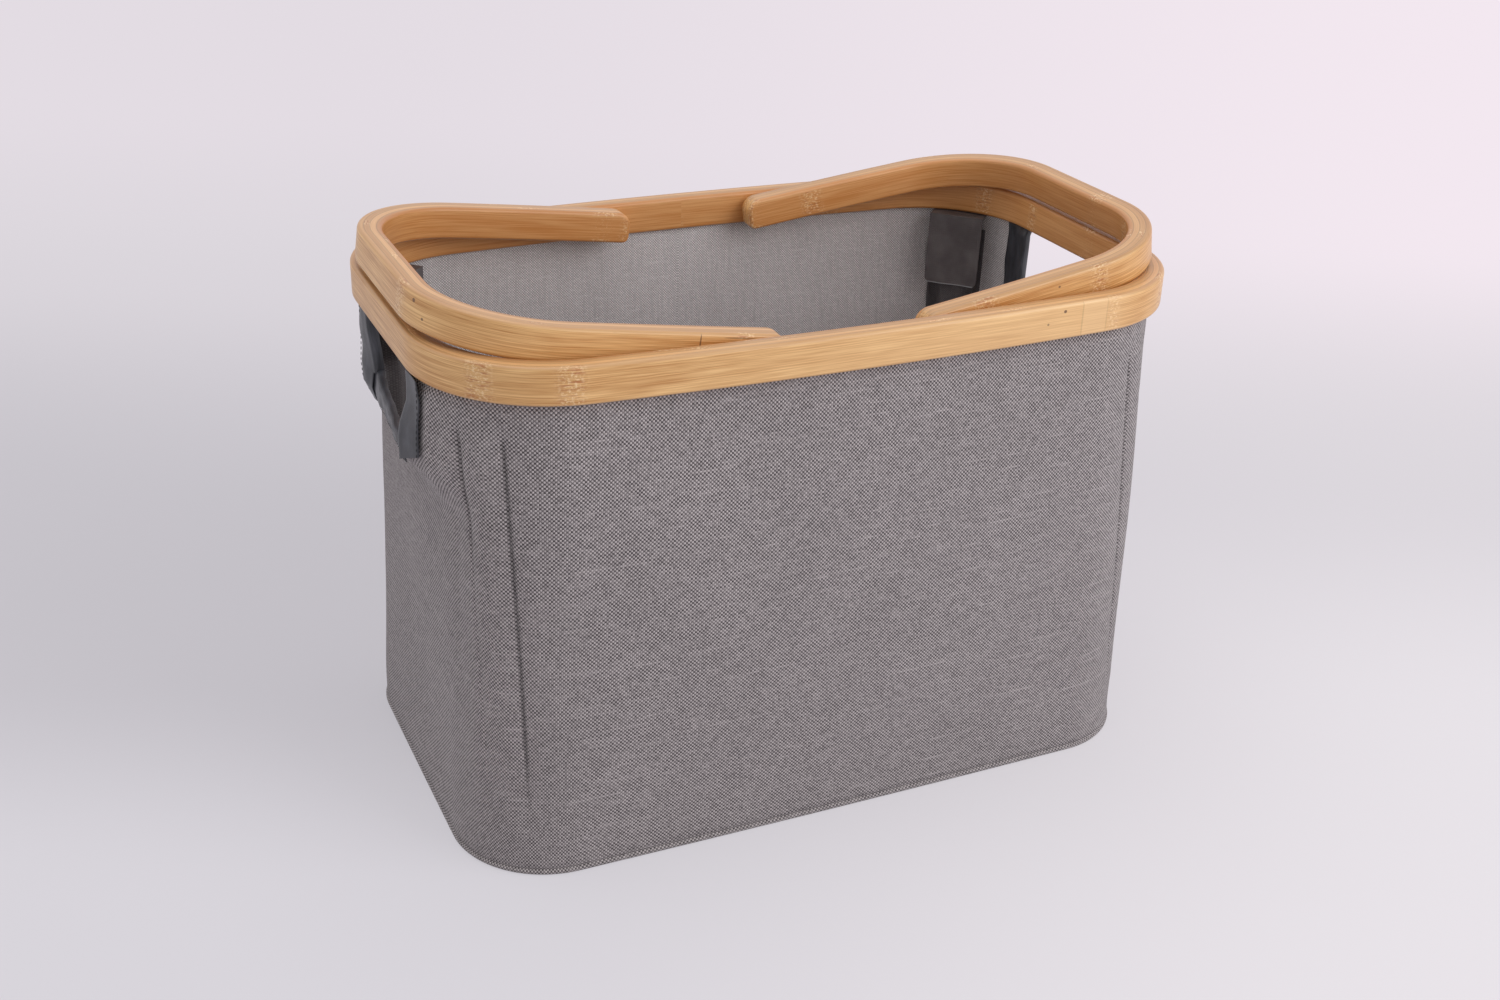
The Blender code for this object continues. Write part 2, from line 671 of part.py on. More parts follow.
def make_flap(corner, frame, hook_tape, loop_tape):
    """The sleeve's closing tab: a header sewn under the rim, the flap and the patch it grips."""
    patch_top = RIM_BOTTOM - PATCH_BELOW_RIM
    frame.slab("loop_patch_" + corner, PATCH_HALF_WIDTH, GAP, PATCH_THICKNESS,
               patch_top - PATCH_HEIGHT, patch_top, loop_tape)
    flap_top = RIM_BOTTOM - GAP
    from_front = PATCH_THICKNESS + 2 * GAP
    flap = frame.slab("flap_" + corner, FLAP_HALF_WIDTH, from_front, FLAP_THICKNESS,
                      flap_top - FLAP_HEIGHT, flap_top, hook_tape)
    t, r = frame.sleeve_front(flap_top)
    hinge_r = r - SLEEVE_THICKNESS - from_front - FLAP_THICKNESS / 2
    set_origin(flap, frame.point(t, hinge_r, flap_top))
    near = hinge_r + FLAP_THICKNESS / 2 + GAP
    lining_r = frame.lining_radius(flap_top) - LAYER_GAP
    far = math.sqrt(lining_r ** 2 - FLAP_HALF_WIDTH ** 2)
    loops = []
    for z in (flap_top - HEADER_THICKNESS, flap_top):
        loops.append([frame.point(t - FLAP_HALF_WIDTH, near, z),
                      frame.point(-FLAP_HALF_WIDTH, far, z),
                      frame.point(FLAP_HALF_WIDTH, far, z),
                      frame.point(t + FLAP_HALF_WIDTH, near, z)])
    loft("flap_header_" + corner, loops, hook_tape, smooth=False)


def cap_profile():
    """A domed end cap, drawn with its dome down and its dome's centre at the origin."""
    dome = []
    for k in range(DOME_STEPS + 1):
        angle = math.radians(90) * k / DOME_STEPS
        dome.append((CAP_RADIUS * math.sin(angle), -CAP_RADIUS * math.cos(angle)))
    dome[0] = (0, -CAP_RADIUS)
    return dome + [(CAP_RADIUS, CAP_SKIRT), (CAP_BORE_RADIUS, CAP_SKIRT), (CAP_BORE_RADIUS, 0), (0, 0)]


def make_rod(corner, frame, metal, plastic):
    """A tube with a cap on each end, carried by an empty at the middle of its lower dome."""
    foot = frame.rod_point(ROD_FOOT_Z)
    head = frame.rod_point(ROD_HEAD_Z)
    span = (head - foot).length
    pivot = bpy.data.objects.new("rod_foot_" + corner, None)
    pivot.location = foot
    pivot.rotation_mode = "QUATERNION"
    pivot.rotation_quaternion = (head - foot).to_track_quat("Z", "Y")
    bpy.context.scene.collection.objects.link(pivot)
    profile = [(ROD_BORE_RADIUS, GAP), (ROD_RADIUS, GAP),
               (ROD_RADIUS, span - GAP), (ROD_BORE_RADIUS, span - GAP)]
    rod = turned("support_rod_" + corner, profile, ROD_STEPS, metal, closed=True)
    foot_cap = turned("rod_foot_cap_" + corner, cap_profile(), ROD_STEPS, plastic, closed=False)
    head_cap = turned("rod_head_cap_" + corner, cap_profile(), ROD_STEPS, plastic, closed=False)
    head_cap.location = (0, 0, span)
    head_cap.rotation_euler = (math.pi, 0, 0)
    for piece in (rod, foot_cap, head_cap):
        piece.parent = pivot


def main():
    for obj in list(bpy.data.objects):
        bpy.data.objects.remove(obj)

    bamboo = finish("bamboo", (0.62, 0.40, 0.21), 0.45)
    grey_weave = finish("grey_weave", (0.235, 0.225, 0.222), 0.90)
    coated_weave = finish("coated_weave", (0.30, 0.29, 0.29), 0.55)
    sleeve_cloth = finish("sleeve_cloth", (0.060, 0.057, 0.060), 0.75)
    dark_tape = finish("dark_tape", (0.050, 0.055, 0.062), 0.50)
    hook_tape = finish("hook_tape", (0.045, 0.042, 0.043), 0.80)
    loop_tape = finish("loop_tape", (0.050, 0.048, 0.050), 0.95)
    board = finish("board", (0.45, 0.36, 0.26), 0.85)
    metal = finish("rod_metal", (0.62, 0.63, 0.64), 0.35, 1.0)
    plastic = finish("cap_plastic", (0.03, 0.03, 0.032), 0.50)
    steel = finish("pin_steel", (0.55, 0.55, 0.56), 0.30, 1.0)
    nylon = finish("washer_nylon", (0.75, 0.72, 0.66), 0.50)

    plate("bottom_panel", 0, BOTTOM_THICKNESS, BOTTOM_EDGE_RADIUS + BOTTOM_SEAM + GAP, grey_weave)
    plate("base_board", BOARD_BOTTOM, BOARD_TOP, BOTTOM_EDGE_RADIUS, board)
    floor_depth = LINING_INSET + LINING_EDGE_RADIUS + BOTTOM_SEAM + GAP
    plate("floor_lining", FLOOR_BOTTOM, FLOOR_TOP, floor_depth, coated_weave)
    shell = wall_layer("outer_shell", 0, SHELL_THICKNESS, BOTTOM_EDGE_RADIUS, 0, grey_weave)
    lining = wall_layer("lining", LINING_INSET, LINING_THICKNESS, LINING_EDGE_RADIUS,
                        FLOOR_BOTTOM, coated_weave)
    hole_cutter = make_hole_cutter()
    for layer in (shell, lining):
        cut(layer, hole_cutter)
    make_binding("hand_hole_binding_left", -1, dark_tape)
    make_binding("hand_hole_binding_right", 1, dark_tape)

    tape_levels = [(HEM_TOP + GAP, 0), (HEM_TOP + GAP + HEM_TAPE_HEIGHT, 0),
                   (HEM_TOP + GAP + HEM_TAPE_HEIGHT, WALL_DEPTH), (HEM_TOP + GAP, WALL_DEPTH)]
    loft("hem_tape", [wall_loop(z, depth) for z, depth in tape_levels], dark_tape, ring=True)
    make_rim(bamboo)
    make_handle("left_handle", -1, bamboo)
    make_handle("right_handle", 1, bamboo)

    for corner, (side, face) in CORNERS.items():
        make_pivot(corner, side, face, steel, nylon)
        frame = CornerFrame(side, face)
        make_sleeve(corner, frame, sleeve_cloth)
        make_rod(corner, frame, metal, plastic)
        make_flap(corner, frame, hook_tape, loop_tape)


main()
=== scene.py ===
import math

import bmesh
import bpy
import numpy as np
from mathutils import Matrix, Vector
from mathutils.bvhtree import BVHTree


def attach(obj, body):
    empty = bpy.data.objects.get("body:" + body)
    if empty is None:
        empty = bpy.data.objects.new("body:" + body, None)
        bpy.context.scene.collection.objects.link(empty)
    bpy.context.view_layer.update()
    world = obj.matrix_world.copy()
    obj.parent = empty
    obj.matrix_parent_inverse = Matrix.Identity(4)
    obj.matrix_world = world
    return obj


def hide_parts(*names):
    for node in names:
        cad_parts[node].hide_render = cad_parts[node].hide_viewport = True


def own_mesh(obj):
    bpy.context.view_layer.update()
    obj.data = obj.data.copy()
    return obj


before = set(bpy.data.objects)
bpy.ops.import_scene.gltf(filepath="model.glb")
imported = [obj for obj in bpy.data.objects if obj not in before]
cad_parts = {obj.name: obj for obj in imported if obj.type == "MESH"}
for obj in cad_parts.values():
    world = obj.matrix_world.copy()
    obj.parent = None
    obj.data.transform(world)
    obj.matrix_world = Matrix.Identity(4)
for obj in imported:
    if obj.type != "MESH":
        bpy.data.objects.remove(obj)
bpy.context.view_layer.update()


# Bottom: a panel of the grey cloth is sewn into the wall's curled edge. A stiff fibreboard lies
# on it, and a sheet of the coated cloth covers the board inside the basket.
base_length = 0.424
base_width = 0.257
base_side_bow = 0.0018
base_end_bow = 0.0003
base_corner_radius = 0.055
panel_inset = 0.0093
panel_thickness = 0.0009
floor_inset = 0.0026
floor_sheet_top = 0.0057
floor_sheet_thickness = 0.0007
floor_wave = 0.00035
cloth_light = (195, 186, 187)
cloth_dark = (76, 70, 72)
coat_light = (238, 232, 233)
coat_dark = (160, 154, 155)
board_light = (190, 164, 130)
board_dark = (150, 124, 96)
outer_thread_pitch = 0.0011
lining_thread_pitch = 0.00085


def mirrored(half):
    """A line that ends at an end's middle, and its mirror beyond that, as one."""
    return np.concatenate((half, half[-2::-1] * (1, -1)))


class BentOutline:
    """A closed line of bowed sides, bowed ends and round corners, walked from the middle of a side."""

    def __init__(self, length, width, side_bow, end_bow, corner_radius):
        self.side_radius = (length ** 2 / 4 + side_bow ** 2) / (2 * side_bow)
        self.end_radius = (width ** 2 / 4 + end_bow ** 2) / (2 * end_bow)
        self.corner_radius = corner_radius
        self.side_middle = np.array((0, width / 2 - self.side_radius))
        self.end_middle = np.array((length / 2 - self.end_radius, 0))
        side_reach = self.side_radius - corner_radius
        end_reach = self.end_radius - corner_radius
        between = self.end_middle - self.side_middle
        apart = np.hypot(*between)
        along = (side_reach ** 2 - end_reach ** 2 + apart ** 2) / (2 * apart)
        across = math.sqrt(side_reach ** 2 - along ** 2)
        square = np.array((-between[1], between[0])) / apart
        foot = self.side_middle + between * along / apart
        self.corner_middle = max((foot + square * across, foot - square * across), key=sum)
        self.side_turn = math.atan2(*(self.corner_middle - self.side_middle)[::-1])
        self.end_turn = math.atan2(*(self.corner_middle - self.end_middle)[::-1])

    def quarter(self, side_steps, corner_steps, end_steps, start_x=0):
        """One quarter's points, from start_x on a side to an end's middle, and their directions out."""
        first = math.acos((start_x - self.side_middle[0]) / self.side_radius)
        arcs = ((self.side_middle, self.side_radius, first, self.side_turn, side_steps),
                (self.corner_middle, self.corner_radius, self.side_turn, self.end_turn, corner_steps),
                (self.end_middle, self.end_radius, self.end_turn, 0, end_steps))
        points, outwards = [], []
        for middle, radius, begin, end, steps in arcs:
            turn = np.linspace(begin, end, steps + 1)[1 if points else 0:]
            outward = np.stack((np.cos(turn), np.sin(turn)), 1)
            points.append(middle + radius * outward)
            outwards.append(outward)
        return np.concatenate(points), np.concatenate(outwards)

    def around(self, side_steps, corner_steps, end_steps):
        """The whole line, clockwise from above, with its outward directions."""
        whole = []
        for part in self.quarter(side_steps, corner_steps, end_steps):
            right = mirrored(part)
            whole.append(np.concatenate((right, right[-2:0:-1] * (-1, 1))))
        return whole


def shown(name, data):
    """A new object in the scene."""
    made = bpy.data.objects.new(name, data)
    bpy.context.scene.collection.objects.link(made)
    return made


def net(name, places, close_rows=False, close_columns=False, cap=False, keep=None, **charts):
    """A skin over rows and columns of points.

    cap closes the first and the last row, and keep chooses the faces that stay. Each chart gives
    every face corner its place on the material.
    """
    rows, columns = places.shape[:2]
    mesh = bpy.data.meshes.new(name)
    row, column = np.meshgrid(np.arange(rows - (not close_rows)), np.arange(columns - (not close_columns)),
                              indexing="ij")
    row, column = row.ravel(), column.ravel()
    if keep is not None:
        chosen = keep(row, column)
        row, column = row[chosen], column[chosen]
    step_row = (0, 0, 1, 1)
    step_column = (0, 1, 1, 0)
    corner_row = np.stack([row + step for step in step_row], 1)
    corner_column = np.stack([column + step for step in step_column], 1)
    faces = ((corner_row % rows) * columns + corner_column % columns).tolist()
    corners = [corner_row.ravel(), corner_column.ravel()]
    if cap:
        around = np.arange(columns)
        faces += [around[::-1].tolist(), (around + (rows - 1) * columns).tolist()]
        corners[0] = np.concatenate((corners[0], np.zeros(columns, int), np.full(columns, rows - 1)))
        corners[1] = np.concatenate((corners[1], around[::-1], around))
    mesh.from_pydata(places.reshape(-1, 3).tolist(), [], faces)
    for chart, values in charts.items():
        numbers = values[corners[0], corners[1]].astype(np.float32).ravel()
        if values.shape[2] == 2:
            mesh.uv_layers.new(name=chart).uv.foreach_set("vector", numbers)
        else:
            mesh.attributes.new(chart, "FLOAT_VECTOR", "CORNER").data.foreach_set("vector", numbers)
    piece = shown(name, mesh)
    loose = bmesh.new()
    loose.from_mesh(mesh)
    bmesh.ops.delete(loose, geom=[v for v in loose.verts if not v.link_faces], context="VERTS")
    loose.to_mesh(mesh)
    loose.free()
    mesh.shade_smooth()
    return piece


def face_outwards(piece, sharp_from=None, doubles=0.00002):
    """Merge doubled points of a closed skin and turn its faces out.

    Edges that bend by more than sharp_from degrees look sharp.
    """
    skin = bmesh.new()
    skin.from_mesh(piece.data)
    bmesh.ops.remove_doubles(skin, verts=skin.verts, dist=doubles)
    bmesh.ops.recalc_face_normals(skin, faces=skin.faces)
    skin.to_mesh(piece.data)
    skin.free()
    if sharp_from:
        piece.data.set_sharp_from_angle(angle=math.radians(sharp_from))


def settle(piece):
    """Turn what a piece's modifiers make of it into its plain mesh."""
    bpy.context.view_layer.update()
    shaped = piece.evaluated_get(bpy.context.evaluated_depsgraph_get())
    mesh = bpy.data.meshes.new_from_object(shaped)
    piece.modifiers.clear()
    piece.data = mesh


def thicken(piece, thickness, outwards=0):
    """Give a single layer of cloth its thickness, inwards unless told otherwise."""
    wall = piece.modifiers.new("thickness", "SOLIDIFY")
    wall.thickness = thickness
    wall.offset = -1 + 2 * outwards
    settle(piece)


def running_length(points):
    """Distance walked at each point of a line, from zero."""
    steps = np.linalg.norm(np.diff(points, axis=0), axis=1)
    return np.concatenate(((0,), np.cumsum(steps)))


def paint(colour):
    """A colour as it is seen on a screen, from 0 to 255, as light."""
    shares = [c / 255 for c in colour]
    return tuple(c / 12.92 if c <= 0.04045 else ((c + 0.055) / 1.055) ** 2.4 for c in shares) + (1,)


class Value:
    """One number that runs through a finish, so that its arithmetic reads as arithmetic."""

    def __init__(self, finish, socket):
        self.finish = finish
        self.socket = socket

    def _then(self, operation, *others, clamp=False):
        node = self.finish.tree.nodes.new("ShaderNodeMath")
        node.operation = operation
        node.use_clamp = clamp
        for slot, value in zip(node.inputs, (self, *others)):
            self.finish.feed(slot, value)
        return Value(self.finish, node.outputs[0])

    def __add__(self, other):
        return self._then("ADD", other)

    def __sub__(self, other):
        return self._then("SUBTRACT", other)

    def __mul__(self, other):
        return self._then("MULTIPLY", other)

    def __truediv__(self, other):
        return self._then("DIVIDE", other)

    def floor(self):
        return self._then("FLOOR")

    def share(self):
        return self._then("FRACT")

    def wave(self):
        return (self * math.pi)._then("SINE")

    def size(self):
        return self._then("ABSOLUTE")

    def squared(self):
        return self * self

    def over(self, limit):
        return self._then("GREATER_THAN", limit)

    def larger(self, other):
        return self._then("MAXIMUM", other)

    def clamped(self):
        return self._then("ADD", 0, clamp=True)

    def ramped(self, low, high):
        """From 0 at low to 1 at high, eased at both ends."""
        node = self.finish.tree.nodes.new("ShaderNodeMapRange")
        node.interpolation_type = "SMOOTHSTEP"
        self.finish.feed(node.inputs["Value"], self)
        node.inputs["From Min"].default_value = low
        node.inputs["From Max"].default_value = high
        return Value(self.finish, node.outputs["Result"])


class Finish:
    """A material that is put together step by step."""

    def __init__(self, name, roughness, **sockets):
        self.material = bpy.data.materials.new(name)
        self.material.use_nodes = True
        self.tree = self.material.node_tree
        self.shader = self.tree.nodes["Principled BSDF"]
        self.shader.inputs["Roughness"].default_value = roughness
        for socket, value in sockets.items():
            self.shader.inputs[socket.replace("_", " ")].default_value = value

    def feed(self, slot, value):
        if isinstance(value, Value):
            value = value.socket
        if isinstance(value, bpy.types.NodeSocket):
            self.tree.links.new(value, slot)
        else:
            slot.default_value = value

    def node(self, kind, output=0, settings=(), **inputs):
        made = self.tree.nodes.new(kind)
        for setting, value in dict(settings).items():
            setattr(made, setting, value)
        for slot, value in inputs.items():
            self.feed(made.inputs[slot.replace("_", " ")], value)
        return Value(self, made.outputs[output])

    def coordinates(self, vector, count):
        """The first numbers of a vector, each on its own."""
        parts = self.tree.nodes.new("ShaderNodeSeparateXYZ")
        self.feed(parts.inputs[0], vector)
        return [Value(self, parts.outputs[k]) for k in range(count)]

    def chart(self, name):
        """The two coordinates of a UV map, in metres."""
        return self.coordinates(self.node("ShaderNodeUVMap", settings={"uv_map": name}), 2)

    def lay(self, name):
        """The three coordinates of a vector attribute, in metres."""
        return self.coordinates(self.node("ShaderNodeAttribute", "Vector", {"attribute_name": name}), 3)

    def place(self):
        """Object coordinates, in metres."""
        return self.node("ShaderNodeTexCoord", "Object")

    def join(self, x, y, z=0.0):
        return self.node("ShaderNodeCombineXYZ", X=x, Y=y, Z=z)

    def noise(self, vector, scale=1.0, detail=2.0, roughness=0.5):
        return self.node("ShaderNodeTexNoise", "Fac", Vector=vector, Scale=scale, Detail=detail,
                         Roughness=roughness)

    def chance(self, vector):
        """A different number from 0 to 1 for each whole-number place."""
        return self.node("ShaderNodeTexWhiteNoise", "Value", Vector=vector)

    def blend(self, share, first, second):
        made = self.tree.nodes.new("ShaderNodeMix")
        made.data_type = "RGBA"
        self.feed(made.inputs["Factor"], share)
        for slot, value in (("A", first), ("B", second)):
            socket = [s for s in made.inputs if s.name == slot and s.type == "RGBA"][0]
            self.feed(socket, value)
        return [s for s in made.outputs if s.type == "RGBA"][0]

    def shade(self, colour, amount):
        """A colour times a number."""
        made = self.tree.nodes.new("ShaderNodeVectorMath")
        made.operation = "SCALE"
        self.feed(made.inputs[0], colour)
        self.feed(made.inputs["Scale"], amount)
        return made.outputs[0]

    def colour(self, value):
        self.feed(self.shader.inputs["Base Color"], value)

    def relief(self, height, depth, strength=1.0):
        """Raise the surface by a height from 0 to 1 times a depth in metres."""
        bump = self.node("ShaderNodeBump", "Normal", Height=height, Distance=depth, Strength=strength)
        self.feed(self.shader.inputs["Normal"], bump)


def woven(name, pitch, light, dark, roughness, depth, contrast, warp_run, slubs, **sockets):
    """Plain weave: each thread passes over one crossing thread and under the next.

    contrast parts the warp's tone from the weft's. warp_run is how many threads a warp thread
    crosses before its tone changes.
    """
    cloth = Finish(name, roughness, **sockets)
    across, up = cloth.chart("weave")
    u, v = across / pitch, up / pitch
    column, row = u.floor(), v.floor()
    warp_lift = v.wave() * (column + 0.5).wave()
    weft_lift = u.wave() * (row + 0.5).wave() * -1.0
    warp = warp_lift * 0.5 - (u.share() - 0.5).squared() * 2.2
    weft = weft_lift * 0.5 - (v.share() - 0.5).squared() * 2.2
    warp_tops = (warp - weft).ramped(-0.05, 0.05)
    height = warp.larger(weft)
    fleck = cloth.chance(cloth.join(column, row))
    warp_tone = cloth.noise(cloth.join(column * 7.31, v / warp_run), detail=1.0)
    weft_tone = cloth.noise(cloth.join(u * 0.13, row * 5.17, 9.0), detail=1.0)
    tone = weft_tone + warp_tops * (warp_tone - weft_tone)
    slub = cloth.noise(cloth.join(u * 0.018, row * 0.83, 4.0), detail=2.0).ramped(0.60, 0.74)
    share = (warp_tops - 0.5) * contrast + (tone - 0.5) * 0.9 + (fleck - 0.5) * 0.22 + slub * slubs + 0.5
    threads = cloth.blend(share.clamped(), paint(dark), paint(light))
    cloudy = cloth.noise(cloth.join(across * 16.0, up * 11.0), detail=2.0)
    # gap darkens the threads where they dip under their neighbours: painted shade in the hollows of the
    # weave.
    gap = height.ramped(-0.35, 0.15)
    # The first number of marks is painted light: shade in the wall's creases over the pocket seams.
    seam = cloth.lay("marks")[0].ramped(0.25, 0.95)
    cloth.colour(cloth.shade(threads, (gap * 0.42 + 0.62) * (cloudy * 0.20 + 0.90) * (seam * -0.36 + 1.0)))
    cloth.relief(height + slub * 0.25, depth)
    return cloth.material


def dress(node, finish):
    """Give one of the frame's own solids its finish."""
    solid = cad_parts[node].data
    solid.materials.clear()
    solid.materials.append(finish.material)


grey_weave = woven("grey_weave", outer_thread_pitch, cloth_light, cloth_dark, roughness=0.88,
                   depth=0.00026, contrast=0.80, warp_run=5.0, slubs=0.24,
                   Sheen_Weight=0.10, Sheen_Roughness=0.5)
coated_weave = woven("coated_weave", lining_thread_pitch, coat_light, coat_dark, roughness=0.50,
                     depth=0.00014, contrast=0.88, warp_run=40.0, slubs=0.20,
                     Coat_Weight=0.15, Coat_Roughness=0.36)

board = Finish("board", 0.85)
speck = board.noise(board.place(), 900.0, 3.0)
chips = board.noise(board.place(), 140.0, 4.0, 0.65)
board.colour(board.blend(chips.ramped(0.3, 0.7), paint(board_dark), paint(board_light)))
board.relief(speck, 0.0001)
dress("base_board", board)


def flat_cloth(name, inset, low, thickness, wave, material):
    """A flat sheet cut to the base's outline, with slight waves."""
    base = BentOutline(base_length, base_width, base_side_bow, base_end_bow, base_corner_radius)
    line, outward = base.around(28, 16, 16)
    edge = line - outward * inset
    shares = np.concatenate((np.linspace(1, 0.04, 34), (0.0001,)))
    flat = edge[None] * shares[:, None, None]
    x, y = flat[..., 0], flat[..., 1]
    lift = np.sin(41 * x + 17 * y + 0.6) * np.sin(29 * y - 11 * x) + np.sin(23 * x - 35 * y) * 0.5
    rim_share = 1 - shares[:, None] ** 6
    top = low + thickness + wave * rim_share * (lift + 1.5) / 3
    upper = np.dstack((x, y, top))
    lower = np.dstack((x, y, top - thickness))
    shell = np.concatenate((upper[::-1], lower))
    chart = shell[..., :2] + 1.0
    chart = np.concatenate((chart, chart[:, :1]), 1)
    piece = net(name, shell, close_columns=True, weave=chart)
    face_outwards(piece, 50)
    piece.data.materials.append(material)
    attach(piece, "base")
    return piece


bottom_cloth = flat_cloth("bottom_cloth", panel_inset, 0, panel_thickness, 0, grey_weave)
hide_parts("bottom_panel")
floor_sheet = flat_cloth("floor_sheet", floor_inset, floor_sheet_top - floor_sheet_thickness,
                         floor_sheet_thickness, floor_wave, coated_weave)
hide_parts("floor_lining")


# Outer wall: one strip of grey linen-look plain weave that hangs from the groove under the rim. Below
# a stitched line its lower edge is rolled and curls in to the panel, where it is sewn. It sags below
# the hand holes, and the rod pockets' seams pull a pair of creases into each corner.
rim_length = 0.440
rim_width = 0.266
rim_side_bow = 0.0099
rim_end_bow = 0.0003
rim_corner_radius = 0.0765
rim_bottom = 0.273
hem_top = 0.2775
wall_inset = 0.0065
shell_thickness = 0.0008
bottom_edge_radius = 0.0022
bottom_piping = 0.0009
bottom_reach = 0.0090
stitched_line_depth = 0.0004
wall_columns = (26, 110, 20)
chart_height = 0.14
end_wall_from = 0.150
held_above = 0.2728
drape_depth = 0.0005
fine_drape_depth = 0.00035
gather_depth = 0.00030
side_swell = 0.0012
crease_depth = 0.0015
crease_half_width = 0.0012
dip_depth = 0.0007
dip_half_width = 0.005
pocket_swell = 0.0011
pocket_swell_half_width = 0.007
crease_depth_at_full_shade = 0.0021
sag_heights = (0.014, 0.057, 0.105, 0.136, 0.168, 0.203, 0.212, 0.222)
sag_depths = (0, 0.0019, 0.0035, 0.0047, 0.0053, 0.0060, 0.0038, 0)
seam_heights = (0.04, 0.255)
seam_turns = {"end": ((38.0, 31.0), (28.8, 41.3)), "side": ((60.5, 51.6), (48.2, 63.7))}
hole_half_width = 0.050
hole_floor = 0.235
hole_corner_radius = 0.006
hole_margin = 0.004


def wall_outline(z):
    """The outline that the wall follows at a height: the base's below, the rim's above."""
    share = min(max(z / rim_bottom, 0), 1)

    def between(low, high):
        return low + (high - low) * share

    return BentOutline(between(base_length, rim_length), between(base_width, rim_width),
                       between(base_side_bow, rim_side_bow), between(base_end_bow, rim_end_bow),
                       between(base_corner_radius, rim_corner_radius))


low_corner = wall_outline(0).corner_middle
high_corner = wall_outline(rim_bottom).corner_middle


def corner_of(z):
    """Middle and radius of the wall's round corner at a height."""
    share = np.clip(z / rim_bottom, 0, 1)
    middle_x, middle_y = (low + (high - low) * share for low, high in zip(low_corner, high_corner))
    high_radius = rim_corner_radius - wall_inset
    return middle_x, middle_y, base_corner_radius + (high_radius - base_corner_radius) * share


def eased(low, high, value):
    """From 0 at low to 1 at high, eased at both ends."""
    share = np.clip((value - low) / (high - low), 0, 1)
    return share * share * (3 - 2 * share)


def through(value, places, heights):
    """A smooth line through heights at rising places."""
    places, heights = np.array(places), np.array(heights)
    before = np.clip(np.searchsorted(places, value) - 1, 0, len(places) - 2)
    share = eased(places[before], places[before + 1], value)
    return heights[before] + (heights[before + 1] - heights[before]) * share


def end_sag(y, z):
    """How far an end wall gives inwards below its hand hole."""
    by_height = np.interp(z, sag_heights, sag_depths)
    reach = np.abs(y)
    return by_height * (1 - eased(0.080, 0.101, reach)) * (0.8 + 0.2 * eased(0.02, 0.07, reach))


# The left hole's edge, pulled out by hands: how far it stands out, row by row upwards and place by
# place from front to back.
stand_places = (-0.106, -0.092, -0.080, -0.069, -0.050, -0.030, -0.010, 0.008, 0.024, 0.040,
                0.050, 0.069, 0.080)
stand_heights = (0.203, 0.218, 0.232, 0.245, 0.256, 0.268, held_above)
stand_rows = (
    (0, 0, 0, 0, 0, 0, 0, 0, 0, 0, 0, 0, 0),
    (0, 0.0004, 0.0014, 0.0028, 0.0046, 0.0032, 0.0020, 0.0010, 0.0004, -0.0002, -0.0008, 0.0002, 0),
    (0, 0.0010, 0.0030, 0.0053, 0.0096, 0.0080, 0.0050, 0.0026, 0.0012, -0.0010, -0.0030, 0.0012, 0),
    (0, 0.0010, 0.0028, 0.0050, 0.0090, 0.0060, 0.0030, 0.0010, 0, -0.0010, -0.0020, 0.0003, 0),
    (0, 0.0010, 0.0026, 0.0042, 0.0048, 0.0030, 0.0010, 0, 0, 0, -0.0008, 0, 0),
    (0, 0.0008, 0.0022, 0.0036, 0.0042, 0.0020, 0.0010, 0, 0, 0, 0, 0, 0),
    (0, 0, 0, 0, 0, 0, 0, 0, 0, 0, 0, 0, 0),
)
pull_beside_hole = 0.0026


def hole_stand(x, y, z):
    """How far the edge of a hand hole stands out from the wall, where hands have pulled it."""
    rows = np.array([through(y, stand_places, row) for row in stand_rows])
    spot = np.interp(np.broadcast_to(z, np.shape(y)), stand_heights, range(len(stand_heights)))
    low = np.minimum(spot.astype(int), len(stand_heights) - 2)
    below = np.take_along_axis(rows, low[None], 0)[0]
    above = np.take_along_axis(rows, low[None] + 1, 0)[0]
    beside_hole = np.exp(-((np.abs(y) - 0.052) / 0.011) ** 2)
    drawn_in = beside_hole * eased(0.212, 0.232, z) * (1 - eased(0.267, held_above, z))
    return np.where(x < 0, below + (above - below) * (spot - low), -pull_beside_hole * drawn_in)


def pocket_creases(x, y, z):
    """The grooves over the two seams of each corner's rod pocket, and the swell between them.

    seam_turns are the seams' places round the corner at two heights, for the left corners and then
    for the right ones.
    """
    middle_x, middle_y, radius = corner_of(z)
    turn = np.degrees(np.arctan2(np.abs(y) - middle_y, np.abs(x) - middle_x))
    by_end, by_side = (np.where(x < 0, *(np.interp(z, seam_heights, turns) for turns in seam_turns[seam]))
                       for seam in ("end", "side"))
    under_rim = 1 - eased(0.244, 0.262, z)
    end_weight = eased(0.012, 0.10, z) * 0.4 + eased(0.15, 0.22, z) * 0.6
    side_weight = eased(0.015, 0.085, z)
    given = np.zeros_like(x)
    for seam, weight in ((by_end, end_weight), (by_side, side_weight)):
        away = np.radians(turn - seam) * radius
        crease = crease_depth * np.exp(-(away / crease_half_width) ** 2)
        dip = dip_depth * np.exp(-(away / dip_half_width) ** 2)
        given = given + (crease + dip) * weight * under_rim
    from_middle = np.radians(turn - (by_end + by_side) / 2) * radius
    swell = np.exp(-(from_middle / pocket_swell_half_width) ** 2)
    return given - pocket_swell * swell * eased(0.012, 0.035, z) * under_rim


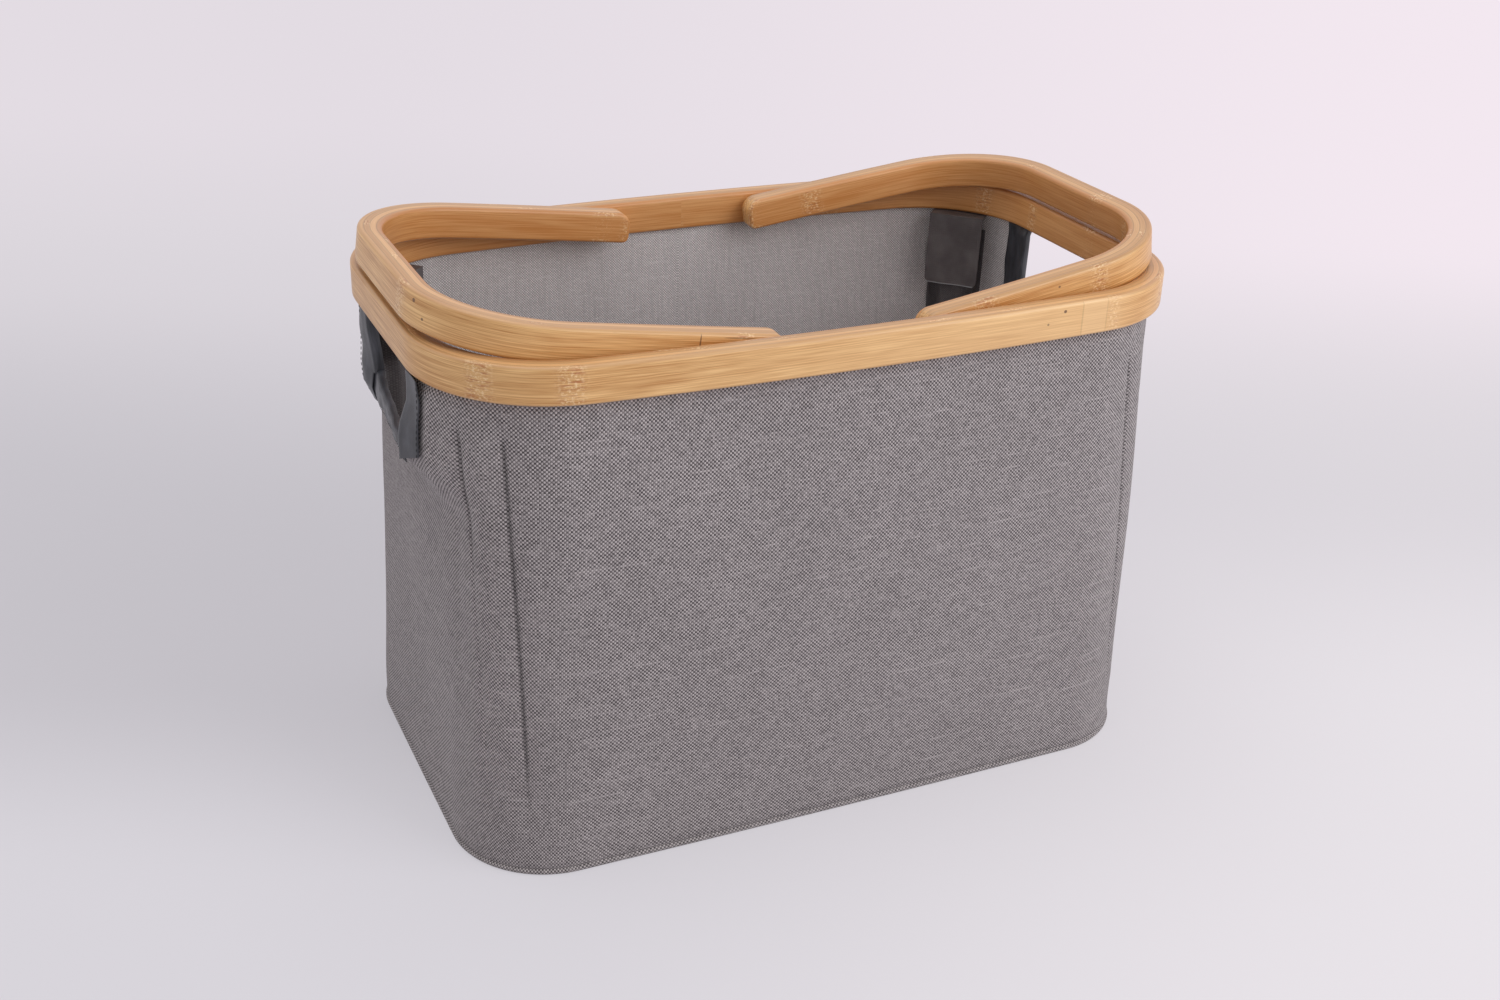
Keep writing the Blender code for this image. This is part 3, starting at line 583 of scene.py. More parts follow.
def slack(x, y, z):
    """How far the cloth of the wall lies inside its drawn form at a place."""
    on_end = eased(end_wall_from, 0.185, np.abs(x))
    folds = pocket_creases(x, y, z)
    run = x * 31 + y * 43
    soft = (drape_depth * np.sin(run * 0.61 + z * 19)
            + fine_drape_depth * np.sin(run * 1.37 - z * 33 + 1.3))
    gathers = gather_depth * np.sin(run * 9.3 + 2 * np.sin(run * 1.9)) * eased(0.235, 0.272, z)
    up_wall = np.clip(z / rim_bottom, 0, 1)
    bowed = -side_swell * np.sin(np.pi * up_wall) * (1 - eased(0.08, 0.17, np.abs(x)))
    rise = eased(0.008, 0.030, z) * (1 - eased(0.266, held_above, z))
    given = end_sag(y, z) * np.where(x < 0, 1, 0.25) - hole_stand(x, y, z)
    return on_end * given + folds + (soft + bowed) * rise + gathers * (1 - eased(0.271, held_above, z))


def hole_reach(y, z):
    """How far a place on an end wall lies outside the edge of its hand hole."""
    across = np.abs(y) - (hole_half_width - hole_corner_radius)
    down = hole_floor + hole_corner_radius - z
    outside = np.hypot(np.maximum(across, 0), np.maximum(down, 0))
    return outside + np.minimum(np.maximum(across, down), 0) - hole_corner_radius


def wall_profile(straight_rows, floor, depth, edge_radius, piping=0.0):
    """Heights and depths of a wall from its hem down to the seam in its curled lower edge.

    piping is how far the edge stands out below a stitched line, where the panel's cloth fills it.
    """
    low = floor + edge_radius * (1.9 if piping else 1)
    hem = np.linspace(hem_top, rim_bottom, 3)[:-1]
    heights = np.concatenate((hem, np.linspace(rim_bottom, low, straight_rows)))
    depths = np.full(len(heights), depth)
    if piping:
        roll = (stitched_line_depth, stitched_line_depth, -piping * 0.5, -piping * 0.9)
        heights = np.concatenate((heights, floor + edge_radius * np.array((1.78, 1.66, 1.5, 1.25))))
        depths = np.concatenate((depths, depth + np.array(roll)))
    turn = np.radians(np.arange(0 if piping else 6, 91, 6))
    curl_heights = floor + edge_radius - edge_radius * np.sin(turn)
    curl_depths = depth - piping + edge_radius - edge_radius * np.cos(turn)
    return (np.concatenate((heights, curl_heights, (floor,))),
            np.concatenate((depths, curl_depths, (bottom_reach,))))


def cloth_wall(name, straight_rows, columns, floor, depth, edge_radius, piping=0.0):
    """A wall of cloth round the basket, one layer, with its hand holes left open."""
    heights, depths = wall_profile(straight_rows, floor, depth, edge_radius, piping)
    rows = []
    for z, inward in zip(heights, depths):
        line, outward = wall_outline(z).around(*columns)
        share = min(max(z / rim_bottom, 0), 1)
        line = line - outward * wall_inset * share
        given = slack(line[:, 0], line[:, 1], np.full(len(line), z))
        place = line - outward * (inward + given)[:, None]
        rows.append(np.column_stack((place, np.full(len(line), z))))
    places = np.array(rows)
    # Painted shade: the deeper the cloth lies in a crease over a pocket seam, the darker it is coloured.
    seam = np.clip(pocket_creases(*places.transpose(2, 0, 1)) / crease_depth_at_full_shade, 0, 1)
    marks = np.dstack((seam, seam * 0, seam * 0))
    marks = np.concatenate((marks, marks[:, :1]), 1)
    line = wall_outline(chart_height).around(*columns)[0]
    across = running_length(np.concatenate((line, line[:1])))
    down = running_length(np.column_stack((heights, depths)))
    chart = np.dstack(np.meshgrid(across, 1 - down))
    beyond = hole_reach(places[..., 1], places[..., 2])
    beyond = np.where(np.abs(places[..., 0]) > end_wall_from, beyond, 1)

    def outside_holes(row, column):
        after = (column + 1) % beyond.shape[1]
        nearest = np.minimum.reduce((beyond[row, column], beyond[row + 1, column],
                                     beyond[row, after], beyond[row + 1, after]))
        return nearest > hole_margin

    return net(name, places, close_columns=True, keep=outside_holes, weave=chart, marks=marks)


outer_wall = cloth_wall("outer_wall", 76, wall_columns, 0, 0, bottom_edge_radius, bottom_piping)
outer_wall.data.materials.append(grey_weave)
thicken(outer_wall, shell_thickness)
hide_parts("outer_shell")
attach(outer_wall, "base")


def fold_down(piece):
    """Give a piece its own copy of its mesh."""
    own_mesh(piece)


fold_down(outer_wall)


# Lining: a second wall of a lighter, finer plain weave with a thin waterproof coat. It hangs inside
# the outer wall from the same groove, and its lower edge curls in with the edge of the floor sheet.
lining_columns = (24, 40, 14)
lining_depth = 0.0012
lining_thickness = 0.0007
lining_floor = 0.0050
lining_edge_radius = 0.004

inner_wall = cloth_wall("inner_wall", 58, lining_columns, lining_floor, lining_depth, lining_edge_radius)
inner_wall.data.materials.append(coated_weave)
thicken(inner_wall, lining_thickness)
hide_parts("lining")
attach(inner_wall, "base")
fold_down(inner_wall)


# Hand hole edging: a dark woven tape folded over the edge of each hand hole. One length lies along
# the hole's lower edge, and two upright ones hang from the rim over its ends and are cut off a
# little below it. All are stitched near their outer edge in black.
tape_width = 0.0175
tape_thickness = 0.0006
upright_ends = {(-1, -1): 0.2246, (-1, 1): 0.2145, (1, -1): 0.219, (1, 1): 0.222}
# The front upright of the left hole has come off the cloth: how far out its fold and its hem lie at
# some heights, and how far its outer leaf's cut end slants.
pulled_heights = (0.2240, 0.2376, 0.2448, 0.2560, 0.2640, 0.2726)
pulled_fold = (0.2248, 0.2245, 0.2231, 0.2192, 0.2188, 0.2188)
pulled_hem = (0.2192, 0.2190, 0.2187, 0.2178, 0.2176, 0.2176)
pulled_slant = 0.0078
tape_fold = 0.0011
tape_rib = 0.0009
tape_colour = (52, 53, 59)
tape_hang_gap = 0.0004
tape_hem_lift = 0.0006
tape_crease = 0.0002
tape_ripple = 0.0005
loose_leaf = {-1: 0.0012, 1: 0.0004}
lower_leaf_lift = 0.0004
upright_from_hole = 0.0016
upright_fold_below_hole = 0.0035
lower_past_front = 0.005
lower_past_back = 0.012
lower_below_hole = 0.0046
lower_front_cut = 0.004
lower_back_cut = 0.008
cloth_depth = lining_depth + lining_thickness
stitch_length = 0.0022
stitch_gap = 0.0009
thread_radius = 0.00022
thread_light = (52, 52, 55)
thread_dark = (22, 22, 24)
stitch_inset = 0.0009
stitch_lift = 0.0012


def on_end_wall(side, y, z, out):
    """Places on an end wall, a distance out from the cloth's outer face."""
    middle_x, middle_y, radius = corner_of(z)
    round_y = np.maximum(np.abs(y) - middle_y, 0)
    reach = np.sqrt(radius ** 2 - round_y ** 2)
    facing = np.stack((reach / radius, np.sign(y) * round_y / radius), -1)
    place = np.stack((middle_x + reach, y), -1)
    place = place + facing * (out - slack(place[..., 0] * side, place[..., 1], z))[..., None]
    return np.stack((side * place[..., 0], place[..., 1], z), -1)


dark_tape = Finish("dark_tape", 0.42, Coat_Weight=0.18, Coat_Roughness=0.28)
along, across = dark_tape.chart("weave")
ribs = (across / tape_rib).wave().size()
picks = (along / (tape_rib * 0.8)).wave().size()
worn = dark_tape.noise(dark_tape.join(along * 60.0, across * 160.0), detail=3.0)
worn_colour = [c * 1.35 + 6 for c in tape_colour]
tape_tone = dark_tape.blend(worn.ramped(0.35, 0.75), paint(tape_colour), paint(worn_colour))
# The colour darkens between ribs and picks: painted shade in the tape's weave.
dark_tape.colour(dark_tape.shade(tape_tone, ribs * picks * 0.35 + 0.75))
dark_tape.relief(ribs * 0.6 + picks * 0.4, 0.00010)


def grainy(name, roughness, dark, light, scale, detail, depth=None, **sockets):
    """A plain material in two tones, laid by a fine grain that may also roughen its surface.

    scale is three numbers where the grain is drawn out.
    """
    finish = Finish(name, roughness, **sockets)
    place = finish.place()
    if isinstance(scale, tuple):
        place, scale = finish.node("ShaderNodeMapping", Vector=place, Scale=scale), 1.0
    grain = finish.noise(place, scale, detail)
    finish.colour(finish.blend(grain, paint(dark), paint(light)))
    if depth:
        finish.relief(grain, depth)
    return finish


thread = grainy("sewing_thread", 0.6, thread_dark, thread_light, scale=5200.0, detail=1.0, depth=0.00005)


def sewing_tree():
    """Short rounded stitches laid end to end along lines of points."""
    tree = bpy.data.node_groups.new("sewn line", "GeometryNodeTree")
    face = tree.interface
    face.new_socket("Geometry", in_out="INPUT", socket_type="NodeSocketGeometry")
    sizes = {"Stitch Length": stitch_length, "Gap": stitch_gap, "Thread Radius": thread_radius}
    for label, value in sizes.items():
        face.new_socket(label, in_out="INPUT", socket_type="NodeSocketFloat").default_value = value
    face.new_socket("Seed", in_out="INPUT", socket_type="NodeSocketInt").default_value = 7
    face.new_socket("Thread", in_out="INPUT", socket_type="NodeSocketMaterial")
    face.new_socket("Geometry", in_out="OUTPUT", socket_type="NodeSocketGeometry")
    given = tree.nodes.new("NodeGroupInput")
    result = tree.nodes.new("NodeGroupOutput")
    stitch, gap, radius, seed = (given.outputs[k] for k in (*sizes, "Seed"))

    def node(kind, links, **settings):
        made = tree.nodes.new(kind)
        for setting, value in settings.items():
            setattr(made, setting, value)
        for slot, value in links.items():
            if isinstance(value, bpy.types.NodeSocket):
                tree.links.new(value, made.inputs[slot])
            else:
                made.inputs[slot].default_value = value
        return made.outputs

    lines = node("GeometryNodeMeshToCurve", {0: given.outputs["Geometry"]})[0]
    step = node("ShaderNodeMath", {0: stitch, 1: gap}, operation="ADD")[0]
    places = node("GeometryNodeResampleCurve", {"Curve": lines, "Length": step}, mode="LENGTH")[0]
    along = node("GeometryNodeInputTangent", {})[0]
    turn = node("FunctionNodeAlignRotationToVector", {"Vector": along}, axis="Z")[0]
    ball = node("GeometryNodeMeshUVSphere", {"Segments": 6, "Rings": 5, "Radius": 1.0})[0]
    half = node("ShaderNodeMath", {0: stitch, 1: 0.5}, operation="MULTIPLY")[0]
    uneven = node("FunctionNodeRandomValue", {2: 0.86, 3: 1.08, "Seed": seed}, data_type="FLOAT")[1]
    length = node("ShaderNodeMath", {0: half, 1: uneven}, operation="MULTIPLY")[0]
    size = node("ShaderNodeCombineXYZ", {0: radius, 1: radius, 2: length})[0]
    stitches = node("GeometryNodeInstanceOnPoints", {"Points": places, "Instance": ball, "Rotation": turn,
                                                     "Scale": size})[0]
    real = node("GeometryNodeRealizeInstances", {0: stitches})[0]
    finished = node("GeometryNodeSetMaterial", {"Geometry": real, "Material": given.outputs["Thread"]})[0]
    tree.links.new(finished, result.inputs[0])
    return tree


sewn_line = sewing_tree()


def sew(name, lines, body, seed):
    """Stitches along lines of points, as one plain mesh on a body."""
    points, edges = [], []
    for line in lines:
        edges += [(len(points) + k, len(points) + k + 1) for k in range(len(line) - 1)]
        points += [tuple(p) for p in line]
    mesh = bpy.data.meshes.new(name)
    mesh.from_pydata(points, edges, [])
    piece = shown(name, mesh)
    stitcher = piece.modifiers.new("stitches", "NODES")
    stitcher.node_group = sewn_line
    slots = [item for item in sewn_line.interface.items_tree if item.in_out == "INPUT"]
    named = {slot.name: slot.identifier for slot in slots}
    stitcher[named["Seed"]] = seed
    stitcher[named["Thread"]] = thread.material
    settle(piece)
    piece.data.shade_smooth()
    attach(piece, body)
    return piece


def crumple(along, across, seed):
    """Soft creases of a narrow tape, from -1 to 1."""
    return (np.sin(along * 210 + seed) * 0.5 + np.sin(along * 97 - across * 130 + seed * 2.3) * 0.35
            + np.sin(along * 380 + across * 210 + seed * 0.7) * 0.15)


def folded_tape(name, place, length, seed, fold_ends, rows=60):
    """A tape folded lengthways over an edge: outer leaf, fold and inner leaf.

    place gives points for a distance along the tape, one out from the edge, and one off the
    cloth's outer face. fold_ends says between which distances the fold goes round the edge.
    """
    leaf = np.linspace(tape_width, 0.0005, 12)
    flat = np.full(len(leaf), tape_fold)
    turn = np.linspace(0, math.pi, 9)[1:-1]
    half = cloth_depth / 2 + tape_fold
    out_from_edge = np.concatenate((leaf, -0.0002 - np.sin(turn) * tape_fold * 1.3, leaf[::-1]))
    off = np.concatenate((flat, half * np.cos(turn) + tape_fold - half, flat - 2 * half))
    along = np.linspace(0, length, rows)
    reach = np.broadcast_to(out_from_edge, (rows, len(out_from_edge)))
    run = np.broadcast_to(along[:, None], reach.shape)
    lift = crumple(run, reach, seed)
    outer = np.arange(reach.shape[1]) < len(leaf) + (len(turn) + 1) // 2
    stand = tape_hem_lift * eased(0.004, 0.019, reach) * (lift + 0.9) + tape_crease * (1 + lift)
    distance = off[None] + np.where(outer[None], stand, -stand * 0.6)
    places = place(run, reach + 0.0003 * lift, distance)
    widths = running_length(np.column_stack((out_from_edge, off)))
    chart = np.dstack((run, np.broadcast_to(widths, reach.shape)))

    def with_open_fold(row, column):
        middle = (along[row] + along[row + 1]) / 2
        folded = (middle > fold_ends[0]) & (middle < fold_ends[1])
        return folded | (column < len(leaf) - 1) | (column >= len(leaf) + len(turn))

    return net(name, places, keep=with_open_fold, weave=chart)


def hand_hole_edging(name, side, seed):
    """The three tapes of one hand hole, in one mesh with its stitches beside it."""
    parts, lines = [], []
    lower_near = hole_half_width + lower_past_front
    lower_length = 2 * hole_half_width + lower_past_front + lower_past_back
    lower_widths = (0.40, 0.34, 0.36, 0.62, 1.0) if side < 0 else (0.72, 0.60, 0.64, 0.70, 0.62)

    def upright(face, drop):
        pulled = (side, face) == (-1, -1)
        loose = loose_leaf[side]

        def place(along, reach, off):
            across = (reach / tape_width).clip(0, 1)
            slant = pulled * pulled_slant * (off > -cloth_depth / 2)
            z = rim_bottom - tape_hang_gap - along * (1 - slant * across / drop)
            y = face * (hole_half_width + upright_from_hole + reach)
            worn = on_end_wall(side, y, z, off + loose * (off > 0))
            if not pulled:
                return worn
            free = worn.copy()
            fold, hem = (np.interp(z, pulled_heights, line) for line in (pulled_fold, pulled_hem))
            free[..., 0] = side * (fold + (hem - fold) * across + off - tape_fold)
            share = eased(tape_fold - cloth_depth, tape_fold, off)[..., None]
            return worn + (free - worn) * share
        return place

    def lower(along, reach, off):
        y = along - lower_near
        outside = off > -cloth_depth / 2
        width = through(y, (-0.050, -0.015, 0.005, 0.030, 0.046), lower_widths)
        reach = np.where(outside, np.minimum(reach, reach * width), reach)
        ripple = tape_ripple * np.sin(along * 71 + 0.8)
        z = hole_floor - lower_below_hole - reach + ripple
        return on_end_wall(side, y, z, off + lower_leaf_lift * outside)

    def stitch_line(place, length, short, points):
        along = np.linspace(short, length - short, points)
        inside_hem = np.full(points, tape_width - stitch_inset)
        return place(along, inside_hem, np.full(points, tape_fold + stitch_lift))

    for face in (-1, 1):
        drop = rim_bottom - tape_hang_gap - upright_ends[side, face]
        place = upright(face, drop)
        fold_ends = (0, rim_bottom - hole_floor + upright_fold_below_hole)
        parts.append(folded_tape(f"{name}_upright_{face}", place, drop, seed + face, fold_ends))
        lines.append(stitch_line(place, drop, short=0.001, points=40))
    fold_ends = (lower_front_cut, lower_length - lower_back_cut)
    parts.append(folded_tape(name + "_lower", lower, lower_length, seed + 5, fold_ends))
    lines.append(stitch_line(lower, lower_length, short=0.003, points=60))
    joined = bmesh.new()
    for part in parts:
        joined.from_mesh(part.data)
        bpy.data.objects.remove(part)
    mesh = bpy.data.meshes.new(name)
    joined.to_mesh(mesh)
    joined.free()
    piece = shown(name, mesh)
    mesh.shade_smooth()
    mesh.materials.append(dark_tape.material)
    thicken(piece, tape_thickness, 0.5)
    return piece, lines


for name, side, seed in (("left", -1, 3.0), ("right", 1, 8.0)):
    edging, lines = hand_hole_edging(name + "_hole_edging", side, seed)
    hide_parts("hand_hole_binding_" + name)
    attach(edging, "base")
    fold_down(edging)
    fold_down(sew(name + "_hole_stitches", lines, "base", int(seed)))


# Rod pockets: a strip of dark cloth sewn to the lining along two upright seams in each corner. It
# stands off round the rod and is open at the top.
corners = {"front_left": (-1, -1), "front_right": (1, -1), "back_left": (-1, 1), "back_right": (1, 1)}
rod_foot = (0.18727, 0.102575, 0.0106)
rod_head = (0.187722, 0.096587, 0.2659)
cap_radius = 0.0046
pocket_thickness = 0.0010
pocket_hem = 0.0175
pocket_seam = 0.0140
pocket_front = 0.0065
pocket_low = 0.0096
pocket_top = 0.2620
pocket_gap = 0.0004
pocket_ripple = 0.0004
pocket_fine_ripple = 0.0003
pocket_thread_pitch = 0.0008
pocket_light = (112, 107, 109)
pocket_dark = (72, 69, 71)

pocket_cloth = woven("pocket_cloth", pocket_thread_pitch, pocket_light, pocket_dark, roughness=0.7,
                     depth=0.00014, contrast=0.4, warp_run=6.0, slubs=0.1)


def in_corner(corner, along, out, z):
    """Points near a corner: along the wall's chord and out from the corner's middle."""
    side, face = corners[corner]
    middle_x, middle_y, _ = corner_of(z)
    x = middle_x + (out - along) * math.sqrt(0.5)
    y = middle_y + (out + along) * math.sqrt(0.5)
    return np.stack(np.broadcast_arrays(side * x, face * y, z), -1)


def rod_in_corner(z):
    """The rod's axis at a height, as a distance along the chord and one out from the corner's middle."""
    share = (z - rod_foot[2]) / (rod_head[2] - rod_foot[2])
    middle_x, middle_y, _ = corner_of(z)
    x = rod_foot[0] + (rod_head[0] - rod_foot[0]) * share - middle_x
    y = rod_foot[1] + (rod_head[1] - rod_foot[1]) * share - middle_y
    return (y - x) * math.sqrt(0.5), (x + y) * math.sqrt(0.5)


lining_skin = BVHTree.FromPolygons([tuple(v.co) for v in inner_wall.data.vertices],
                                   [tuple(p.vertices) for p in inner_wall.data.polygons])


def lining_out(corner, along, z):
    """How far out the lining's inner face lies at a place along a corner's chord."""
    heading = Vector((*corners[corner], 0)).normalized()
    starts = in_corner(corner, along, 0, z)
    reach = [lining_skin.ray_cast(Vector(start), heading)[3] for start in starts.reshape(-1, 3)]
    return np.array(reach).reshape(starts.shape[:-1])


for seed, corner in enumerate(corners):
    z = np.linspace(pocket_low, pocket_top, 64)[:, None]
    hem = np.linspace(-pocket_hem, -pocket_seam, 4)[:-1]
    along = np.concatenate((hem, np.linspace(-pocket_seam, pocket_seam, 34), -hem[::-1]))[None, :]
    rod_along, rod_out = rod_in_corner(z)
    standing = 1 - eased(pocket_front, pocket_seam - 0.001, np.abs(along - rod_along))
    ripple = (pocket_ripple * np.sin(z * 95 + seed * 2 + along * 160)
              + pocket_fine_ripple * np.sin(z * 41 - along * 240 + seed))
    flat = lining_out(corner, along, z) - pocket_gap
    front = rod_out - cap_radius - pocket_gap
    out = flat + (np.minimum(front, flat) - flat) * standing - np.abs(ripple) * standing
    places = in_corner(corner, along, out, z)
    chart = np.dstack(np.broadcast_arrays(along * 1.1, z))
    pocket = net(corner + "_rod_pocket", places, weave=chart)
    pocket.data.materials.append(pocket_cloth)
    thicken(pocket, pocket_thickness, 1 if np.prod(corners[corner]) > 0 else 0)
    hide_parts("rod_sleeve_" + corner)
    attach(pocket, "base")
    fold_down(pocket)


# Corner rods: light aluminium tubes that stand in the pockets, with a domed plastic cap pushed on
# each end.
rod_radius = 0.0035
rod_bore = 0.0025
cap_skirt = 0.012
rod_gap = 0.0003
cap_lip = 0.0003
rod_light = (214, 215, 217)
rod_dark = (190, 192, 195)
cap_light = (52, 52, 54)
cap_dark = (38, 38, 40)

tube = grainy("rod_metal", 0.34, rod_dark, rod_light, scale=(2600.0, 2600.0, 9.0), detail=3.0,
              depth=0.00003, Metallic=1.0)
cap_plastic = grainy("cap_plastic", 0.5, cap_dark, cap_light, scale=3200.0, detail=2.0, depth=0.00005)


def turned(name, outline, foot, head, steps=28):
    """A profile of (radius, height) pairs spun about the line from foot to head."""
    foot, head = Vector(foot), Vector(head)
    angles = np.linspace(0, math.tau, steps, endpoint=False)
    outline = np.array(outline)
    places = np.stack((outline[:, None, 0] * np.cos(angles), outline[:, None, 0] * np.sin(angles),
                       np.broadcast_to(outline[:, None, 1], (len(outline), steps))), -1)
    piece = net(name, places, close_rows=bool(outline[0, 0] > 0), close_columns=True)
    heading = (head - foot).to_track_quat("Z", "Y").to_matrix().to_4x4()
    piece.data.transform(Matrix.Translation(foot) @ heading)
    face_outwards(piece, 40)
    return piece


def cap_outline(direction, base):
    """A domed cap about a dome middle at a height, its skirt running in a direction."""
    dome = [(cap_radius * math.sin(a), -cap_radius * math.cos(a)) for a in np.linspace(0, math.pi / 2, 9)]
    dome[0] = (0, -cap_radius)
    bore = rod_radius + rod_gap
    skirt = [(cap_radius, cap_skirt - cap_lip), (cap_radius - cap_lip, cap_skirt), (bore, cap_skirt),
             (bore, 0), (0, 0)]
    return [(r, base + direction * h) for r, h in dome + skirt]


for corner, (side, face) in corners.items():
    foot = Vector((side * rod_foot[0], face * rod_foot[1], rod_foot[2]))
    head = Vector((side * rod_head[0], face * rod_head[1], rod_head[2]))
    span = (head - foot).length
    rod = turned(corner + "_rod", [(rod_bore, rod_gap), (rod_radius, rod_gap), (rod_radius, span - rod_gap),
                                   (rod_bore, span - rod_gap)], foot, head)
    rod.data.materials.append(tube.material)
    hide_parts("support_rod_" + corner)
    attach(rod, "rod_" + corner)
    for end, direction, base in (("foot", 1, 0), ("head", -1, span)):
        cap = turned(f"{corner}_{end}_cap", cap_outline(direction, base), foot, head)
        cap.data.materials.append(cap_plastic.material)
        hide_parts(f"rod_{end}_cap_{corner}")
        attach(cap, "rod_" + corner)


# Rim: one strip of four bamboo layers, bent round a form and glued, with rounded edges and a
# groove in its underside that holds the cloth. Varnished satin.
rim_thickness = 0.0125
rim_height = 0.020
rim_arris = 0.0020
groove_start = 0.0062
groove_width = 0.0025
groove_depth = 0.0066
layers = 4
rim_knuckles = ((0.836, 0.011), (0.790, 0.010), (0.481, 0.006), (0.20, 0.010), (0.43, 0.010), (1.14, 0.010))
rim_scars = ((0.5025, 0.0, 0.0005, 0.012, 0.16), (0.4862, 0.0, 0.0004, 0.012, 0.12),
             (0.5144, 0.006, 0.0010, 0.0009, 0.85), (0.5248, 0.0, 0.0007, 0.0007, 0.6))
rim_splice = (0.4862, 0.5025)
rim_steps = (70, 44, 22)
arris_steps = 5
pale_band_from = 0.0016
pale_band_to = 0.0004
skin_depth = 0.0012
bamboo_light = (246, 200, 138)
bamboo_dark = (194, 134, 70)
bamboo_ply_edge_and_sheen = (200, 154, 108)
bamboo_inner_shade = (206, 126, 60)
bamboo_scar = (84, 50, 28)
bamboo_speckle = (248, 216, 168)
bamboo_dash = (176, 98, 50)
bamboo_fleck = (166, 100, 50)
bamboo_let_in = (246, 212, 166)
bamboo_painted_light = (255, 213, 158)


def rounded_section(near, far, low, high, radius):
    """A rectangle with rounded corners, as (depth, height) pairs, from its lower outer edge round."""
    turn = np.linspace(0, math.pi / 2, arris_steps + 1)
    around = []
    for k, (x, z) in enumerate(((near + radius, low + radius), (near + radius, high - radius),
                                (far - radius, high - radius), (far - radius, low + radius))):
        begin = math.radians((270, 180, 90, 0)[k])
        for step in turn:
            around.append((x + radius * math.cos(begin - step), z + radius * math.sin(begin - step)))
    return np.array(around)


def bamboo_finish(name, thickness, height, knuckles, scars, splice=None):
    """Layered bamboo strip: fibres along it, speckled knuckles, scars and fine glue lines.

    knuckles are (place, half length) along the outer layer. scars are spots on the outer face, as
    (place, height, half length, half width, depth of tone). splice is where a paler piece is let in,
    and the strip's outer face grows paler towards it with painted light.
    """
    wood = Finish(name, 0.42, Coat_Weight=0.28, Coat_Roughness=0.30)
    along, depth, up = wood.lay("strip")
    layer = thickness / layers
    ply = (depth / layer).floor()
    tone = wood.chance(wood.join(ply, knuckles[0][0]))
    fine = wood.noise(wood.join(along * 26.0, depth * 1500.0, up * 1500.0), detail=2.0, roughness=0.6)
    broad = wood.noise(wood.join(along * 5.0, depth * 330.0, up * 330.0), detail=2.0)
    cloudy = wood.noise(wood.join(along * 22.0, depth * 60.0, up * 60.0), detail=2.0)
    dots = wood.noise(wood.join(along * 620.0, depth * 900.0, up * 900.0), detail=2.0, roughness=0.65)
    dashes = wood.noise(wood.join(along * 110.0, depth * 1300.0, up * 1300.0), detail=1.0)
    inner_joint = (depth - layer * 0.5).over(0) * (depth * -1.0 + (thickness - layer * 0.5)).over(0)
    from_joint = ((depth / layer + 0.5).share() - 0.5).size()
    joint = (from_joint * -1.0 + 0.5).ramped(0.38, 0.5) * inner_joint
    # top pales the top and bottom faces and their rounded edges: partly the plies' cut edges, partly
    # painted reflection of the bright sky.
    top = up.size().ramped(height / 2 - pale_band_from, height / 2 - pale_band_to)
    # Near the inner face the colour turns darker orange-brown: painted shade and warm bounced light.
    inside = (depth / thickness).ramped(0.70, 0.98)
    here = along + ply.over(0.5) * (tone * 0.2 + 0.06) + (cloudy - 0.5) * 0.004
    near = here * 0.0
    for place, reach in knuckles:
        near = near.larger(((here - place).size() * -1.0 + reach).ramped(0.0, reach * 0.8))
    share = (fine - 0.5) * 2.4 + (broad - 0.5) * 1.1 + (cloudy - 0.5) * 0.6 + (tone - 0.5) * 0.4 + 0.5
    face = wood.blend(share.clamped(), paint(bamboo_dark), paint(bamboo_light))
    pale = wood.blend(top * 0.70, face, paint(bamboo_ply_edge_and_sheen))
    inner_shaded = wood.blend(inside * 0.55, pale, paint(bamboo_inner_shade))
    knotty = wood.blend(near * dots.ramped(0.48, 0.62) * 0.75, inner_shaded, paint(bamboo_speckle))
    dashed = wood.blend(near * dashes.ramped(0.52, 0.66) * 0.70, knotty, paint(bamboo_dash))
    flecked = wood.blend(dashes.ramped(0.70, 0.82) * 0.25, dashed, paint(bamboo_fleck))
    outer = (depth * -1.0 + skin_depth).over(0)
    if splice:
        start, end = splice
        let_in = along.ramped(start, start + 0.0006) * (along * -1.0).ramped(-end, -end + 0.0006)
        flecked = wood.blend(let_in * outer * 0.22, flecked, paint(bamboo_let_in))
        # Painted light: the outer face is coloured paler from 3 cm before the splice to 30 cm past it.
        painted_light_run = along.ramped(start - 0.03, start) * (along * -1.0).ramped(-end - 0.30, -end)
        flecked = wood.blend(painted_light_run * outer * 0.45, flecked, paint(bamboo_painted_light))
    scarred = flecked
    for place, rise, half_length, half_width, weight in scars:
        off = ((along - place) / half_length).squared() + ((up - rise) / half_width).squared()
        spot = (off * -1.0 + 1.2).ramped(0.0, 0.6) * outer
        scarred = wood.blend(spot * weight, scarred, paint(bamboo_scar))
    wood.colour(wood.shade(scarred, (joint * -0.30 + 1.0) * (top * (tone - 0.5) * 0.28 + 1.0)))
    wood.relief(fine * 0.5 + joint * -0.7 + near * dots * 0.3, 0.00010)
    wood.feed(wood.shader.inputs["Roughness"], fine * 0.14 + 0.36)
    return wood.material


